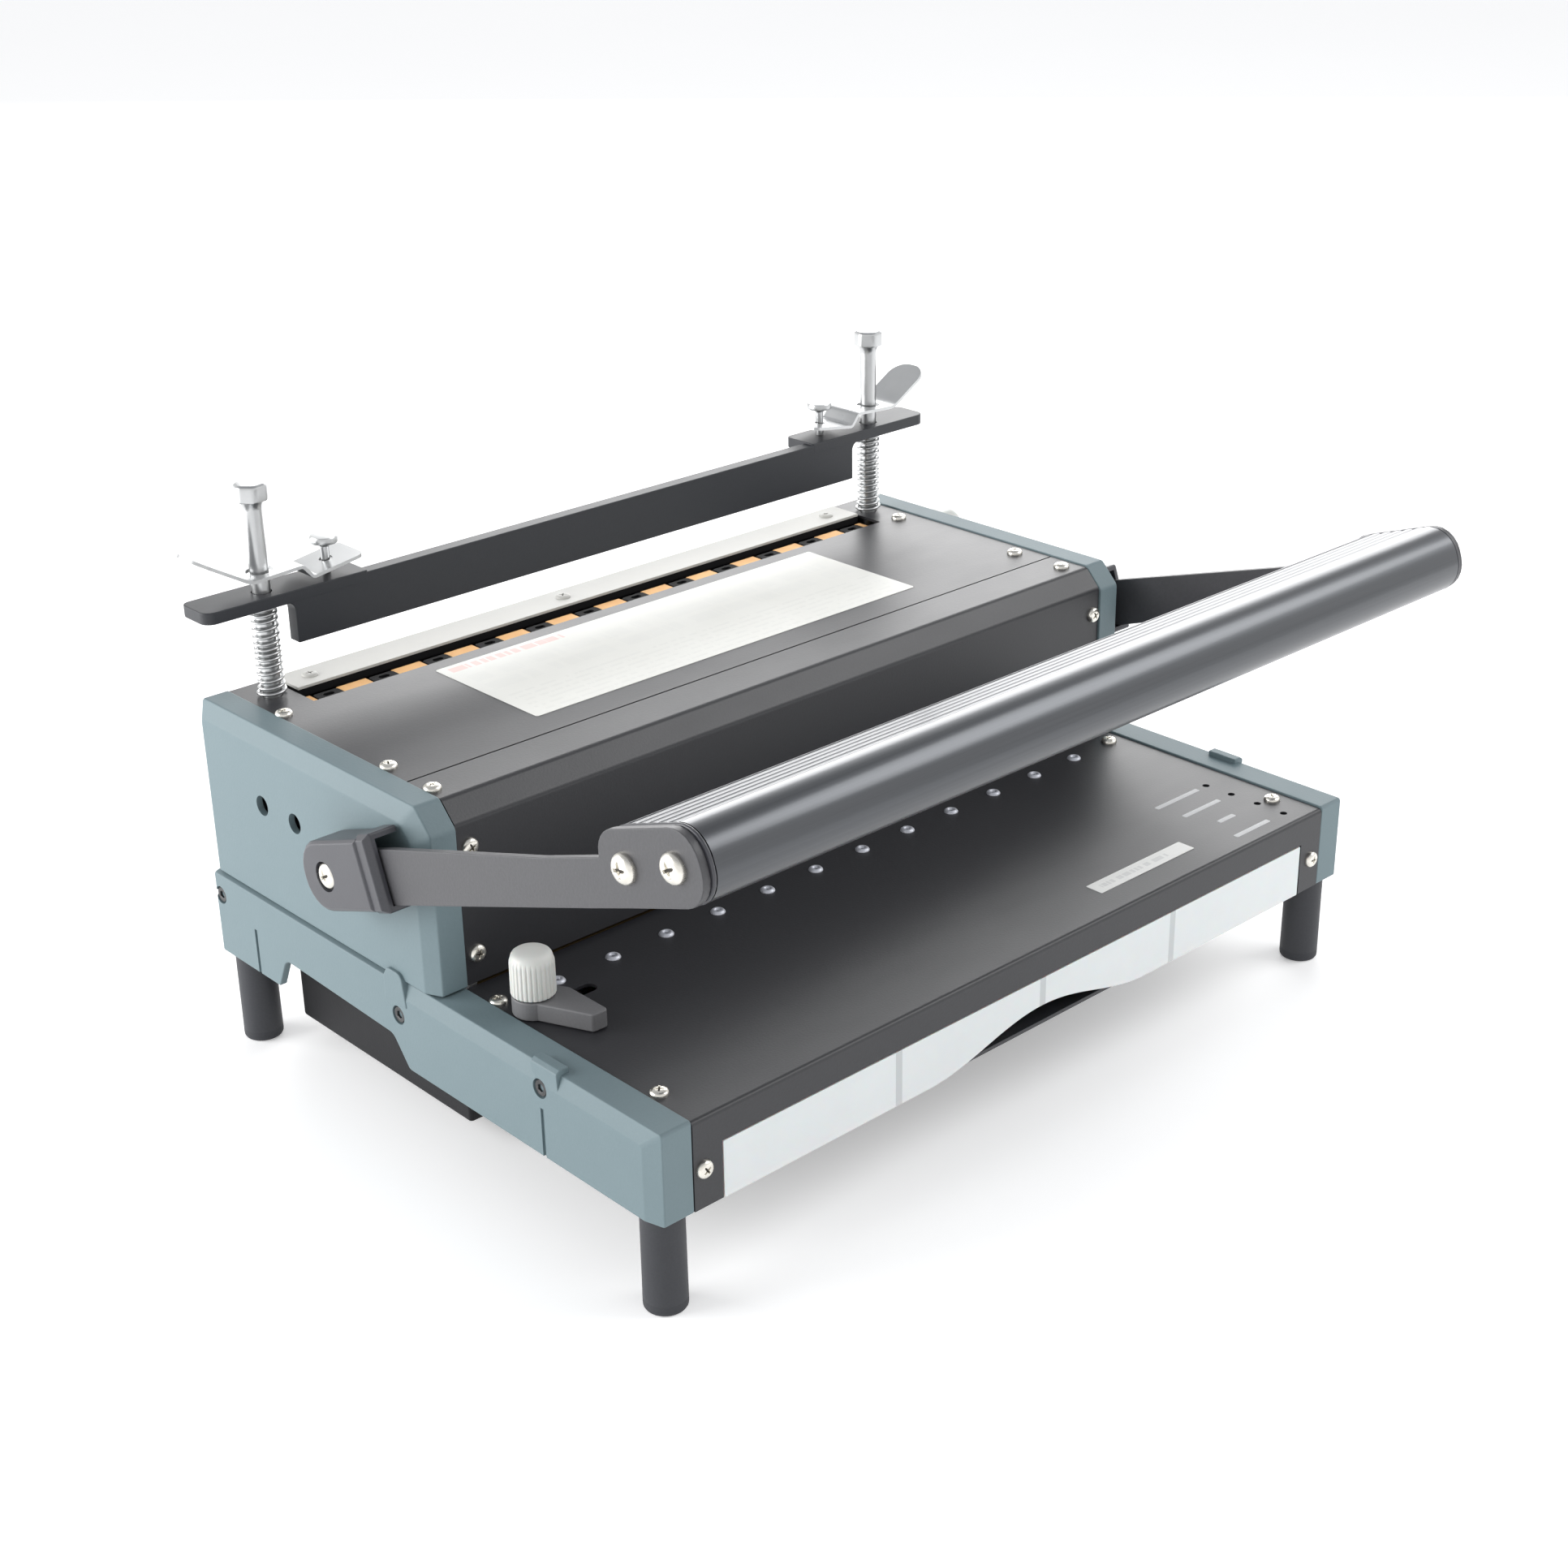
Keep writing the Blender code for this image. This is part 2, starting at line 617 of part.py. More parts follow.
def hub_caps():
    """Moulded covers over the lever's hubs, open at the front where the arm comes out."""
    body = arc(0, 0, 13.2, 270, 90, 10) + [(25, 13.2), (25, 14.4), (33, 14.4)]
    body += [(33, -14.4), (25, -14.4), (25, -13.2)]
    inside = arc(0, -0.6, 11.6, 270, 90, 10) + [(40, 12.2), (40, -12.3)]
    for side, sign in SIDES:
        mesh = prism(bmesh.new(), on_lever(body), sign * 184.9, sign * HUB_OUT)
        cap = make(f"hub_cap_{side}", mesh, cap_plastic(), LEVER_ORIGIN)
        space = prism(bmesh.new(), on_lever(inside), sign * 180, sign * 194.2)
        rod(space, LEVER_ORIGIN, 2.3, sign * 193, sign * 202, "X", 12)
        rod(space, LEVER_ORIGIN, 5.0, sign * (HUB_OUT - 2.2), sign * 202, "X", 16)
        combine(cap, space, overlapping=True)


# ---- pressing bar ----------------------------------------------------------------------------
def posts():
    """Headed posts that stand on the rear tie bar and come up through the top."""
    profile = [(0, 134.3), (POST_R, 134.3), (POST_R, 221.5), (6.3, 223.5), (6.3, 228.3),
               (5.3, POST_TOP), (0, POST_TOP)]
    for side, sign in SIDES:
        mesh = turned(bmesh.new(), profile, (sign * POST_X, POST_Y, 0), "Z", 20)
        make(f"post_{side}", mesh, zinc())


def press_springs():
    for side, sign in SIDES:
        mesh = coil(bmesh.new(), (sign * POST_X, POST_Y, 0), 4.7, 0.6, TOP_Z + GAP,
                    FLANGE_Z[0] - GAP, 12)
        make(f"press_spring_{side}", mesh, zinc())


PRESS_ORIGIN = (0.0, POST_Y, FLANGE_Z[0])


def press_bar():
    """Deep web with a flat flange at each end; the posts pass through the flanges."""
    web_half, flange_in, flange_out, web_top = 147.0, 110.0, 190.0, 186.3
    low, high = FLANGE_Z
    half = [(web_half, BAR_FOOT_Z), (web_half, low), (flange_out, low), (flange_out, high),
            (flange_in, high), (flange_in, web_top)]
    outline = half + [(-x, z) for x, z in reversed(half)]
    web = prism(bmesh.new(), outline, BAR_FRONT, BAR_FRONT + 6.0, "Y")
    bar = make("press_bar", web, cover_paint(), PRESS_ORIGIN)
    inset = 0.1
    flanges = bmesh.new()
    for sign in (-1, 1):
        ends = sorted((sign * (flange_in + inset), sign * (flange_out - inset)))
        corners = rounded(ends[0], BAR_FRONT + 2.0, ends[1], BAR_BACK, 3.0, 3)
        prism(flanges, corners, low + inset, high - inset, "Z")
    combine(bar, flanges, "UNION")
    holes = bmesh.new()
    for sign in (-1, 1):
        rod(holes, (sign * POST_X, POST_Y, 0), POST_R + 0.4, 170, 200, "Z", 20)
    return combine(bar, holes)


def latches():
    """Bent plates that tilt and grip the posts, and the headed pins that they rock on."""
    line = [(118.5, 193.7), (141.3, 190.0), (145.6, 195.2), (167.6, 193.9), (189.6, 207.2)]
    thick = 1.3
    outline = [(x, z + thick / 2) for x, z in line] + [(x, z - thick / 2) for x, z in line[::-1]]
    for side, sign in SIDES:
        place = (sign * LATCH_PIN_X, LATCH_PIN_Y, LATCH_AXIS_Z)
        mesh = prism(bmesh.new(), [(sign * x, z) for x, z in outline], 244.0, 263.0, "Y")
        plate = make(f"latch_plate_{side}", mesh, zinc(), place)
        holes = block(bmesh.new(), (sign * POST_X - 6.2, POST_Y - 5.8, 180.0),
                      (sign * POST_X + 6.2, POST_Y + 5.8, 210.0))
        rod(holes, (place[0], place[1], 0), 2.6, 185, 205, "Z", 12)
        combine(plate, holes)
        pin = [(0, FLANGE_Z[1] + GAP), (1.7, FLANGE_Z[1] + GAP), (1.7, 198.5), (5.0, 199.5),
               (5.0, 201.5), (0, 202.3)]
        mesh = turned(bmesh.new(), pin, (place[0], place[1], 0), "Z", 16)
        make(f"latch_pin_{side}", mesh, zinc())


# ---- side guide ------------------------------------------------------------------------------
def side_guide():
    """Edge stop for the sheets: a round boss with an arm, its square-headed bolt and its knob."""
    place = (GUIDE_X, GUIDE_Y, TABLE_Z)
    boss = arc(GUIDE_X, GUIDE_Y, 7.9, 20, 235, 12)
    outline = boss + [(-156.2, 67.5), (-155.2, 66.4), (-150.4, 66.4), (-149.6, 67.4)]
    outline.append((-149.6, 92.0))
    mesh = prism(bmesh.new(), outline, TABLE_Z + GAP, 80.0, "Z")
    guide = make("side_guide", mesh, guide_plastic(), place)
    combine(guide, rod(bmesh.new(), (GUIDE_X, GUIDE_Y, 0), 2.8, 60, 90, "Z", 16))
    head = block(bmesh.new(), (GUIDE_X - 5.5, GUIDE_Y - 5.5, 67.2),
                 (GUIDE_X + 5.5, GUIDE_Y + 5.5, TABLE_Z - SHEET - GAP))
    bolt = make("guide_bolt", head, bare_steel(), place)
    combine(bolt, rod(bmesh.new(), (GUIDE_X, GUIDE_Y, 0), 2.5, 69.0, 80.0, "Z", 16), "UNION")
    profile = [(0, 80.3), (8.1, 80.3), (7.8, 94.0), (6.4, 96.4), (0, 97.2)]
    mesh = turned(bmesh.new(), profile, (GUIDE_X, GUIDE_Y, 0), "Z", 36, 12, 0.7)
    make("guide_knob", mesh, knob_plastic(), place)


# ---- drawer and selector ---------------------------------------------------------------------
def waste_drawer():
    """Chip drawer: a front with a finger scoop in its lower edge, and a divided tray."""
    scoop = [(60.0 - 12.0 * i, 38.2 + 5.2 * (1 - cos(pi * i / 5))) for i in range(11)]
    face = [(-DRAWER_HALF, 60.1), (-DRAWER_HALF, 38.2), *scoop[::-1], (DRAWER_HALF, 38.2),
            (DRAWER_HALF, 60.1)]
    front = make("waste_drawer", prism(bmesh.new(), face, 0.0, 2.4, "Y"), drawer_plastic(),
                 (0.0, 0.0, 40.4))
    wall = 1.8
    tray = block(bmesh.new(), (-150.0, 1.2, 49.4), (150.0, DRAWER_BACK, 58.8))
    combine(front, tray, "UNION")
    combine(front, block(bmesh.new(), (-150.0, 4.0, 40.5), (150.0, DRAWER_BACK, 52.0)), "UNION")
    edges = [-150.0, *DIVIDERS, 150.0]
    rooms = bmesh.new()
    for left, right in zip(edges, edges[1:]):
        left_wall = wall if left == -150.0 else wall / 2
        right_wall = wall if right == 150.0 else wall / 2
        block(rooms, (left + left_wall, 5.8, 42.3), (right - right_wall, DRAWER_BACK - wall, 70.0))
    return combine(front, rooms)


def selector_knob():
    profile = [(0, 160.0), (4.0, 160.0), (4.0, 185.2), (KNOB_R, 185.2), (KNOB_R, 197.0),
               (KNOB_R - 1.8, HUB_OUT), (0, HUB_OUT)]
    centre = (0, KNOB_Y, KNOB_Z)
    mesh = turned(bmesh.new(), profile, centre, "X", 36, 9, 1.2)
    make("selector_knob", mesh, knob_plastic(), centre)


def build():
    for thing in list(bpy.data.objects):
        bpy.data.objects.remove(thing, do_unlink=True)
    for step in (base_pan, feet, cutter_housing, chassis_plates, cross_bars, lower_casings,
                 upper_casings, table_cover, top_cover, rear_cover, rear_strip, anvil_bar,
                 die_and_guide, punch_bar, return_springs, drive_shaft, shaft_bushes, eccentrics,
                 handle_arms, handle_tube, end_caps, lever_screws, hub_caps, posts, press_springs,
                 press_bar, latches, side_guide, waste_drawer, selector_knob):
        step()


build()
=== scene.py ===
"""Hand-lever punching and strip-binding machine, dressed for a studio picture.

Lengths are in millimetres, with y counted back from the front face of the machine; mesh_of() turns
them into the frame's metres. x runs to the right, and z up from the surface the feet stand on.
"""
from math import cos, pi, radians, sin

import bmesh
import bpy
import numpy as np
from mathutils import Matrix, Vector


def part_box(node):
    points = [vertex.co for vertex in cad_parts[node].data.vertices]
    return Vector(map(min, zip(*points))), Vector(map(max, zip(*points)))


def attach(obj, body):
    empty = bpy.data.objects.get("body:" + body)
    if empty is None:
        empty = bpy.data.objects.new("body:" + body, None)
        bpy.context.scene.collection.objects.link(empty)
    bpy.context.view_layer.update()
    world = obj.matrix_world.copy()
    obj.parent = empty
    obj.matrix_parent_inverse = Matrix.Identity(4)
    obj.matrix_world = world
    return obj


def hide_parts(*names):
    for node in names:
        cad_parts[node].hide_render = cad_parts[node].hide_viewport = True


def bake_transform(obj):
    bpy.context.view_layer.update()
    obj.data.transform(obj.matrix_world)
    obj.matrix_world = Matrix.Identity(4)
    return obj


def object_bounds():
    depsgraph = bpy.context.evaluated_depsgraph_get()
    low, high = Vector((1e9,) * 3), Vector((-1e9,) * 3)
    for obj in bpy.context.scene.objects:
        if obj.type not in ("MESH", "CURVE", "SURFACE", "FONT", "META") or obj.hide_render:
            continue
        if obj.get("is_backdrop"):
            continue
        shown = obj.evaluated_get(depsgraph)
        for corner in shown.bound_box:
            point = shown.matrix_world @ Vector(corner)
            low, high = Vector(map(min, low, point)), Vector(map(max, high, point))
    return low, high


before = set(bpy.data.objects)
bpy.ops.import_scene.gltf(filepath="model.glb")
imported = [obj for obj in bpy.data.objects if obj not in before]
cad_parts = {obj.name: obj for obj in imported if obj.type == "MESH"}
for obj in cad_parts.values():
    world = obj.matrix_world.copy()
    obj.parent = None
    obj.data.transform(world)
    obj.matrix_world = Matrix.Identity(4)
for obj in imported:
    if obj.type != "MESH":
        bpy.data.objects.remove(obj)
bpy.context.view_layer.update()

scene = bpy.context.scene


# ---- Studio ----------------------------------------------------------------------------------
# The camera stands before the left front corner, a little above the machine. The machine is on a
# pale floor, with broad soft lights behind it on both sides, a weak one in front, and bright
# surroundings that are whitest near the floor.
eye = Vector((-0.59174, -0.62270, 0.49033))
heading, pitch, roll = radians(-42.43), radians(65.65), radians(-0.98)
optics = bpy.data.cameras.new("camera")
optics.lens = 55.36
optics.sensor_width = 36.0
camera = bpy.data.objects.new("camera", optics)
camera.matrix_world = (Matrix.Translation(eye) @ Matrix.Rotation(heading, 4, "Z")
                       @ Matrix.Rotation(pitch, 4, "X") @ Matrix.Rotation(roll, 4, "Z"))
scene.collection.objects.link(camera)
scene.camera = camera
scene.view_settings.view_transform = "Standard"


def softbox(name, place, width, height, power):
    """A rectangular lamp that faces the middle of the machine."""
    lamp = bpy.data.lights.new(name, "AREA")
    lamp.shape = "RECTANGLE"
    lamp.size = width
    lamp.size_y = height
    lamp.energy = power
    holder = bpy.data.objects.new(name, lamp)
    holder.location = place
    aim = Vector((0.0, 0.0, 0.1)) - Vector(place)
    holder.rotation_euler = aim.to_track_quat("-Z", "Y").to_euler()
    scene.collection.objects.link(holder)


softbox("left_softbox", (-1.35, 0.95, 0.55), 1.3, 1.1, 26.0)
softbox("rear_softbox", (1.6, 1.45, 0.8), 1.9, 1.2, 28.0)
softbox("front_softbox", (1.25, -0.9, 1.35), 1.2, 0.9, 14.0)

surround = bpy.data.worlds.new("surround")
surround.use_nodes = True
sky = surround.node_tree
backdrop = sky.nodes["Background"]
direction = sky.nodes.new("ShaderNodeTexCoord")
split = sky.nodes.new("ShaderNodeSeparateXYZ")
fade = sky.nodes.new("ShaderNodeValToRGB")
fade.color_ramp.elements[0].position = 0.3
fade.color_ramp.elements[0].color = (1.0, 1.0, 1.0, 1.0)
fade.color_ramp.elements[1].position = 0.85
fade.color_ramp.elements[1].color = (0.45, 0.46, 0.48, 1.0)
sky.links.new(direction.outputs["Generated"], split.inputs["Vector"])
sky.links.new(split.outputs["Z"], fade.inputs["Fac"])
sky.links.new(fade.outputs["Color"], backdrop.inputs["Color"])
backdrop.inputs["Strength"].default_value = 1.04
scene.world = surround


class Wire:
    """A socket in a material's nodes. Arithmetic on wires adds Math nodes; node() adds any other."""

    def __init__(self, tree, socket=None):
        self.tree = tree
        self.socket = socket

    def node(self, kind, settings=None, inputs=None, output=0):
        """Adds a node: its settings first, then its inputs' values or links."""
        made = self.tree.nodes.new(kind)
        for setting, value in (settings or {}).items():
            setattr(made, setting, value)
        for place, value in (inputs or {}).items():
            if isinstance(value, Wire):
                self.tree.links.new(value.socket, made.inputs[place])
            else:
                made.inputs[place].default_value = value
        return Wire(self.tree, made.outputs[output])

    def math(self, operation, first, second=0.0):
        return self.node("ShaderNodeMath", {"operation": operation}, {0: first, 1: second})

    def __add__(self, other):
        return self.math("ADD", self, other)

    def __sub__(self, other):
        return self.math("SUBTRACT", self, other)

    def __mul__(self, other):
        return self.math("MULTIPLY", self, other)

    def __lt__(self, other):
        return self.math("LESS_THAN", self, other)

    def __gt__(self, other):
        return self.math("GREATER_THAN", self, other)

    def __abs__(self):
        return self.math("ABSOLUTE", self)

    __radd__ = __add__
    __rmul__ = __mul__

    def noise(self, scale, detail=2.0, stretch=(1.0, 1.0, 1.0)):
        """Cloudy noise of a scale per metre, drawn out along the axes whose stretch is small."""
        drawn = self.node("ShaderNodeMapping", {}, {"Vector": self, "Scale": stretch})
        return self.node("ShaderNodeTexNoise", {}, {"Vector": drawn, "Scale": scale,
                                                    "Detail": detail})

    def mix(self, factor, first, second):
        """The first colour where the factor is 0 and the second where it is 1."""
        first, second = ((*c, 1.0) if isinstance(c, tuple) else c for c in (first, second))
        return self.node("ShaderNodeMix", {"data_type": "RGBA"}, {0: factor, 6: first, 7: second},
                         output=2)

    def axis(self, letter):
        return self.node("ShaderNodeSeparateXYZ", {}, {0: self}, output="XYZ".index(letter))

    def dent(self, height, depth):
        """A normal pressed in by a height field that is this many metres deep."""
        return self.node("ShaderNodeBump", {}, {"Height": height, "Distance": depth,
                                                "Strength": 1.0})

    def feed(self, **inputs):
        """Links wires to the finish's shader; a socket's name has _ for its spaces."""
        shader = self.tree.nodes["Principled BSDF"]
        for name, wire in inputs.items():
            self.tree.links.new(wire.socket, shader.inputs[name.replace("_", " ")])


def new_finish(name, **constants):
    """A material with those constants on its shader, and the wire of Object coordinates in it."""
    material = bpy.data.materials.new(name)
    material.use_nodes = True
    shader = material.node_tree.nodes["Principled BSDF"]
    for socket, value in constants.items():
        shader.inputs[socket.replace("_", " ")].default_value = value
    place = Wire(material.node_tree).node("ShaderNodeTexCoord", output="Object")
    return material, place


floor_paint, place = new_finish("floor_paint", Specular_IOR_Level=0.2, Emission_Strength=0.28,
                                Emission_Color=(1.0, 1.0, 1.0, 1.0))
drift = place.noise(1.5, 3.0)
place.feed(Base_Color=place.mix(drift, (0.93, 0.93, 0.93), (0.96, 0.96, 0.96)),
           Roughness=0.75 + 0.1 * drift)
reach = 60.0
floor_mesh = bpy.data.meshes.new("floor")
floor_mesh.from_pydata([(-reach, -reach, 0), (reach, -reach, 0), (reach, reach, 0),
                        (-reach, reach, 0)], [], [(0, 1, 2, 3)])
floor_mesh.materials.append(floor_paint)
floor = bpy.data.objects.new("floor", floor_mesh)
scene.collection.objects.link(floor)
floor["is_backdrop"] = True


# ---- Paper table and front face ----------------------------------------------------------------
# One folded steel sheet, powder coated in a satin near-black with a fine pebble. It is punched for
# the drawer, the side guide's slot and four small holes, and screwed to the frame at its corners.
MM = 0.001
front_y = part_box("table_cover")[0].y


def fillet(corners, steps=6):
    """A closed outline from (a, b, radius) corners, each turned into an arc that touches its sides.

    The arc's centre lies on the corner's bisector, radius / sin(half the inner angle) away.
    """
    corners = np.array(corners, float)
    here, radius = corners[:, :2], corners[:, 2:]
    before = np.roll(here, 1, axis=0) - here
    after = np.roll(here, -1, axis=0) - here
    before /= np.linalg.norm(before, axis=1, keepdims=True)
    after /= np.linalg.norm(after, axis=1, keepdims=True)
    half = np.arccos(np.clip((before * after).sum(1, keepdims=True), -0.99999, 0.99999)) / 2
    middle = before + after
    middle /= np.maximum(np.linalg.norm(middle, axis=1, keepdims=True), 1e-9)
    centre = here + middle * radius / np.sin(half)
    start = here + before * radius / np.tan(half) - centre
    end = here + after * radius / np.tan(half) - centre
    turn = pi - 2 * half
    t = np.linspace(0, 1, steps + 1)[None, :, None]
    turn, start, end, centre = turn[:, None], start[:, None], end[:, None], centre[:, None]
    arcs = centre + (np.sin((1 - t) * turn) * start + np.sin(t * turn) * end) / np.sin(turn)
    return arcs.reshape(-1, 2)


def skin(rings):
    """A closed shell over rings of points, an array (ring, point, 3), with its two ends filled."""
    rings = np.asarray(rings, float)
    count, around = rings.shape[:2]
    index = np.arange(count * around).reshape(count, around)
    ahead = np.roll(index, -1, axis=1)
    quads = np.stack([index[:-1], ahead[:-1], ahead[1:], index[1:]], axis=-1).reshape(-1, 4)
    return rings.reshape(-1, 3), [quads, index[:1, ::-1], index[-1:]]


def across(outline, offset, axis):
    """An outline set at an offset along an axis: its points are y-z on x, x-z on y and x-y on z."""
    return np.insert(outline, "xyz".index(axis), offset, axis=1)


def loft(axis, *sections):
    """A shell through (offset, outline) sections along an axis."""
    return skin([across(outline, offset, axis) for offset, outline in sections])


def prism(outline, low, high, axis="x"):
    return loft(axis, (low, outline), (high, outline))


def inset(corners, gap):
    """The same corners moved inwards all round.

    A corner moves by gap * (n + m) / (1 + n . m) for the inward normals n and m of its two sides,
    and its radius drops by the gap where it is convex and grows by it where it is hollow.
    """
    corners = np.array(corners, float)
    here, radius = corners[:, :2], corners[:, 2]
    side = np.roll(here, -1, axis=0) - here
    turning = np.sign(np.sum(here[:, 0] * np.roll(here[:, 1], -1)
                             - here[:, 1] * np.roll(here[:, 0], -1)))
    side /= np.linalg.norm(side, axis=1, keepdims=True)
    normal = turning * np.stack([-side[:, 1], side[:, 0]], 1)
    earlier = np.roll(normal, 1, axis=0)
    bend = turning * (earlier[:, 0] * normal[:, 1] - earlier[:, 1] * normal[:, 0])
    here = here + gap * (normal + earlier) / (1 + (normal * earlier).sum(1, keepdims=True))
    radius = np.maximum(np.where(bend > 0, radius - gap, radius + gap), 0)
    return np.column_stack([here, radius])


def soft_loft(axis, sections, edge, place=lambda outline: outline):
    """A shell through (offset, corners) sections whose every section line is rounded off.

    At a section line the surface follows (1-t)^2 a + 2t(1-t) b + t^2 c, where b is on the line and
    a and c are an edge's width away on the surfaces before and after it.
    """
    first, last = sections[0], sections[-1]
    closed = [(first[0], inset(first[1], 2 * edge)), *sections, (last[0], inset(last[1], 2 * edge))]
    rings = [across(place(fillet(corners)), offset, axis) for offset, corners in closed]
    t = np.linspace(0, 1, 5)[:, None, None]
    run = [rings[0][None]]
    for before, here, after in zip(rings, rings[1:], rings[2:]):
        back, on = before - here, after - here
        back *= np.minimum(0.48, edge / np.maximum(np.linalg.norm(back, axis=1), 1e-9))[:, None]
        on *= np.minimum(0.48, edge / np.maximum(np.linalg.norm(on, axis=1), 1e-9))[:, None]
        run.append(here + (1 - t) ** 2 * back + t ** 2 * on)
    return skin(np.concatenate([*run, rings[-1][None]]))


def slab(corners, low, high, axis, edge):
    """A plate of that outline whose rims are rounded off."""
    return soft_loft(axis, [(low, corners), (high, corners)], edge)


def corners_of(low, high, radius=0.0):
    """A rectangle's corners between two opposite ones."""
    (a0, b0), (a1, b1) = low, high
    return [(a0, b0, radius), (a1, b0, radius), (a1, b1, radius), (a0, b1, radius)]


def soft_box(low, high, edge):
    """A box between two opposite corners, its edges rounded off."""
    (x0, y0, z0), (x1, y1, z1) = low, high
    return slab(corners_of((y0, z0), (y1, z1), edge), x0, x1, "x", edge)


def box(low, high):
    """A box between two opposite corners."""
    (x0, y0, z0), (x1, y1, z1) = low, high
    return prism(np.array([(y0, z0), (y1, z0), (y1, z1), (y0, z1)]), x0, x1)


def disc(centre, radius, steps=32):
    """A circle as an outline."""
    angles = np.linspace(0, 2 * pi, steps, endpoint=False)
    return np.stack([centre[0] + radius * np.cos(angles), centre[1] + radius * np.sin(angles)], 1)


def mesh_of(name, shells):
    """One mesh from closed shells, in metres, its doubles merged and its faces turned outwards."""
    points, faces, start = [], [], 0
    for shell_points, blocks in shells:
        points.append(shell_points)
        for block in blocks:
            faces += (block + start).tolist()
        start += len(shell_points)
    place = np.concatenate(points) * MM
    place[:, 1] += front_y
    mesh = bpy.data.meshes.new(name)
    mesh.from_pydata(place.tolist(), [], faces)
    work = bmesh.new()
    work.from_mesh(mesh)
    bmesh.ops.remove_doubles(work, verts=work.verts, dist=1e-7)
    bmesh.ops.recalc_face_normals(work, faces=work.faces)
    work.to_mesh(mesh)
    work.free()
    return mesh


def settle(thing):
    """Keeps the shape that the modifiers give, and drops them."""
    graph = bpy.context.evaluated_depsgraph_get()
    made = bpy.data.meshes.new_from_object(thing.evaluated_get(graph))
    thing.modifiers.clear()
    thing.data = made


def join(thing, shells, operation):
    """Cuts shells out of a piece or welds them on, for good; it must leave something."""
    shells = [shells] if isinstance(shells, tuple) else shells
    tool = bpy.data.objects.new("tool", mesh_of("tool", shells))
    scene.collection.objects.link(tool)
    step = thing.modifiers.new("join", "BOOLEAN")
    step.operation = operation
    step.solver = "EXACT"
    step.object = tool
    settle(thing)
    bpy.data.objects.remove(tool)
    if not len(thing.data.polygons):
        raise ValueError(f"nothing is left of {thing.name}")


def piece(name, shells, paint, body, replaced=(), welds=(), cuts=(), smooth=35, spring=()):
    """A piece from closed shells: welded, cut, painted and set on its body.

    A spring's two bodies come in place of a single body, with its seat and heights, but none of these
    is used: a spring is set on no body, and only its transform is baked into its mesh.
    """
    thing = bpy.data.objects.new(name, mesh_of(name, shells))
    scene.collection.objects.link(thing)
    for weld in welds:
        join(thing, weld, "UNION")
    for cut in cuts:
        join(thing, cut, "DIFFERENCE")
    thing.data.shade_smooth()
    thing.data.set_sharp_from_angle(angle=radians(smooth))
    even = thing.modifiers.new("even", "WEIGHTED_NORMAL")
    even.keep_sharp = True
    thing.data.materials.clear()
    thing.data.materials.append(paint)
    if replaced:
        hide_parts(*replaced)
    if spring:
        (x, y), low, high = spring
        place = (x * MM, y * MM + front_y)
        low * MM
        high * MM
        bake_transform(thing)
    else:
        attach(thing, body)


def powder_coat(name, colour, roughness, grain=1100.0, depth=0.00003, shine=0.5):
    """Baked powder paint: fine pebble, colour and gloss that drift, and faint handling marks."""
    material, place = new_finish(name, Specular_IOR_Level=shine)
    drift = place.noise(7.0, 4.0)
    pebble = place.noise(grain, 2.0)
    rubbed = place.noise(38.0, 6.0, (1.0, 3.0, 1.0))
    dark, light = (tuple(c * share for c in colour) for share in (0.78, 1.22))
    place.feed(Base_Color=place.mix(0.65 * pebble + 0.35 * drift, dark, light),
               Roughness=roughness - 0.07 + 0.08 * drift + 0.06 * rubbed,
               Normal=place.dent(pebble, depth))
    return material


cover_paint = powder_coat("cover_paint", (0.026, 0.0265, 0.030), 0.40)
table_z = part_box("table_cover")[1].z / MM
table_back = 122.9
cover_half = 169.5
sheet = 1.2
drawer_gap = 157.0
drawer_top = 60.6
guide_x, guide_y, guide_travel = -161.5, 93.0, 24.0
slot_half = 2.9
fold = fillet([(0, 38.5, 0), (0, table_z, 1.8), (table_back, table_z, 0.2),
               (table_back, table_z - sheet, 0.2), (sheet, table_z - sheet, 0.6), (sheet, 38.5, 0)])
guide_slot = fillet(corners_of((guide_x - slot_half, guide_y - slot_half),
                               (guide_x + guide_travel + slot_half, guide_y + slot_half), 2.85))
small_holes = [(154.6, 47.5), (155.1, 34.8), (155.4, 21.8), (155.3, 8.6)]
piece("table_cover_sheet", [prism(fold, -cover_half, cover_half)], cover_paint, "base",
      ["table_cover"],
      cuts=[box((-drawer_gap, -5, 30), (drawer_gap, 5, drawer_top)),
            prism(guide_slot, 65, 80, "z")]
      + [prism(disc(centre, 1.5, 20), 65, 80, "z") for centre in small_holes])


# ---- Screws ------------------------------------------------------------------------------------
# Nickel-plated steel pan heads with a cross recess hold the covers; larger ones hold the lever.
# Their slots point every way, as they do after hand assembly.
def axes(facing):
    """Two directions square to a facing direction, and the facing direction, all of length 1."""
    facing = np.array(facing, float) / np.linalg.norm(facing)
    side = np.array((1.0, 0, 0)) if abs(facing[2]) > 0.9 else np.cross((0, 0, 1.0), facing)
    side /= np.linalg.norm(side)
    return side, np.cross(facing, side), facing


def spun(profile, centre, facing=(0, 0, 1), sides=32, shape=None):
    """A shell turned about an axis from (radius, height) points.

    A point at angle t and height h is centre + radius * shape(t, h) * (cos t, sin t) + h * facing.
    """
    profile = np.array(profile, float)
    side, up, out = axes(facing)
    angle = np.linspace(0, 2 * pi, sides, endpoint=False)[None, :]
    height = profile[:, 1:] + 0 * angle
    radius = profile[:, :1] * (shape(angle, height) if shape else 1.0) + 0 * angle
    ring = (radius * np.cos(angle))[..., None] * side + (radius * np.sin(angle))[..., None] * up
    return skin(np.array(centre, float) + ring + height[..., None] * out)


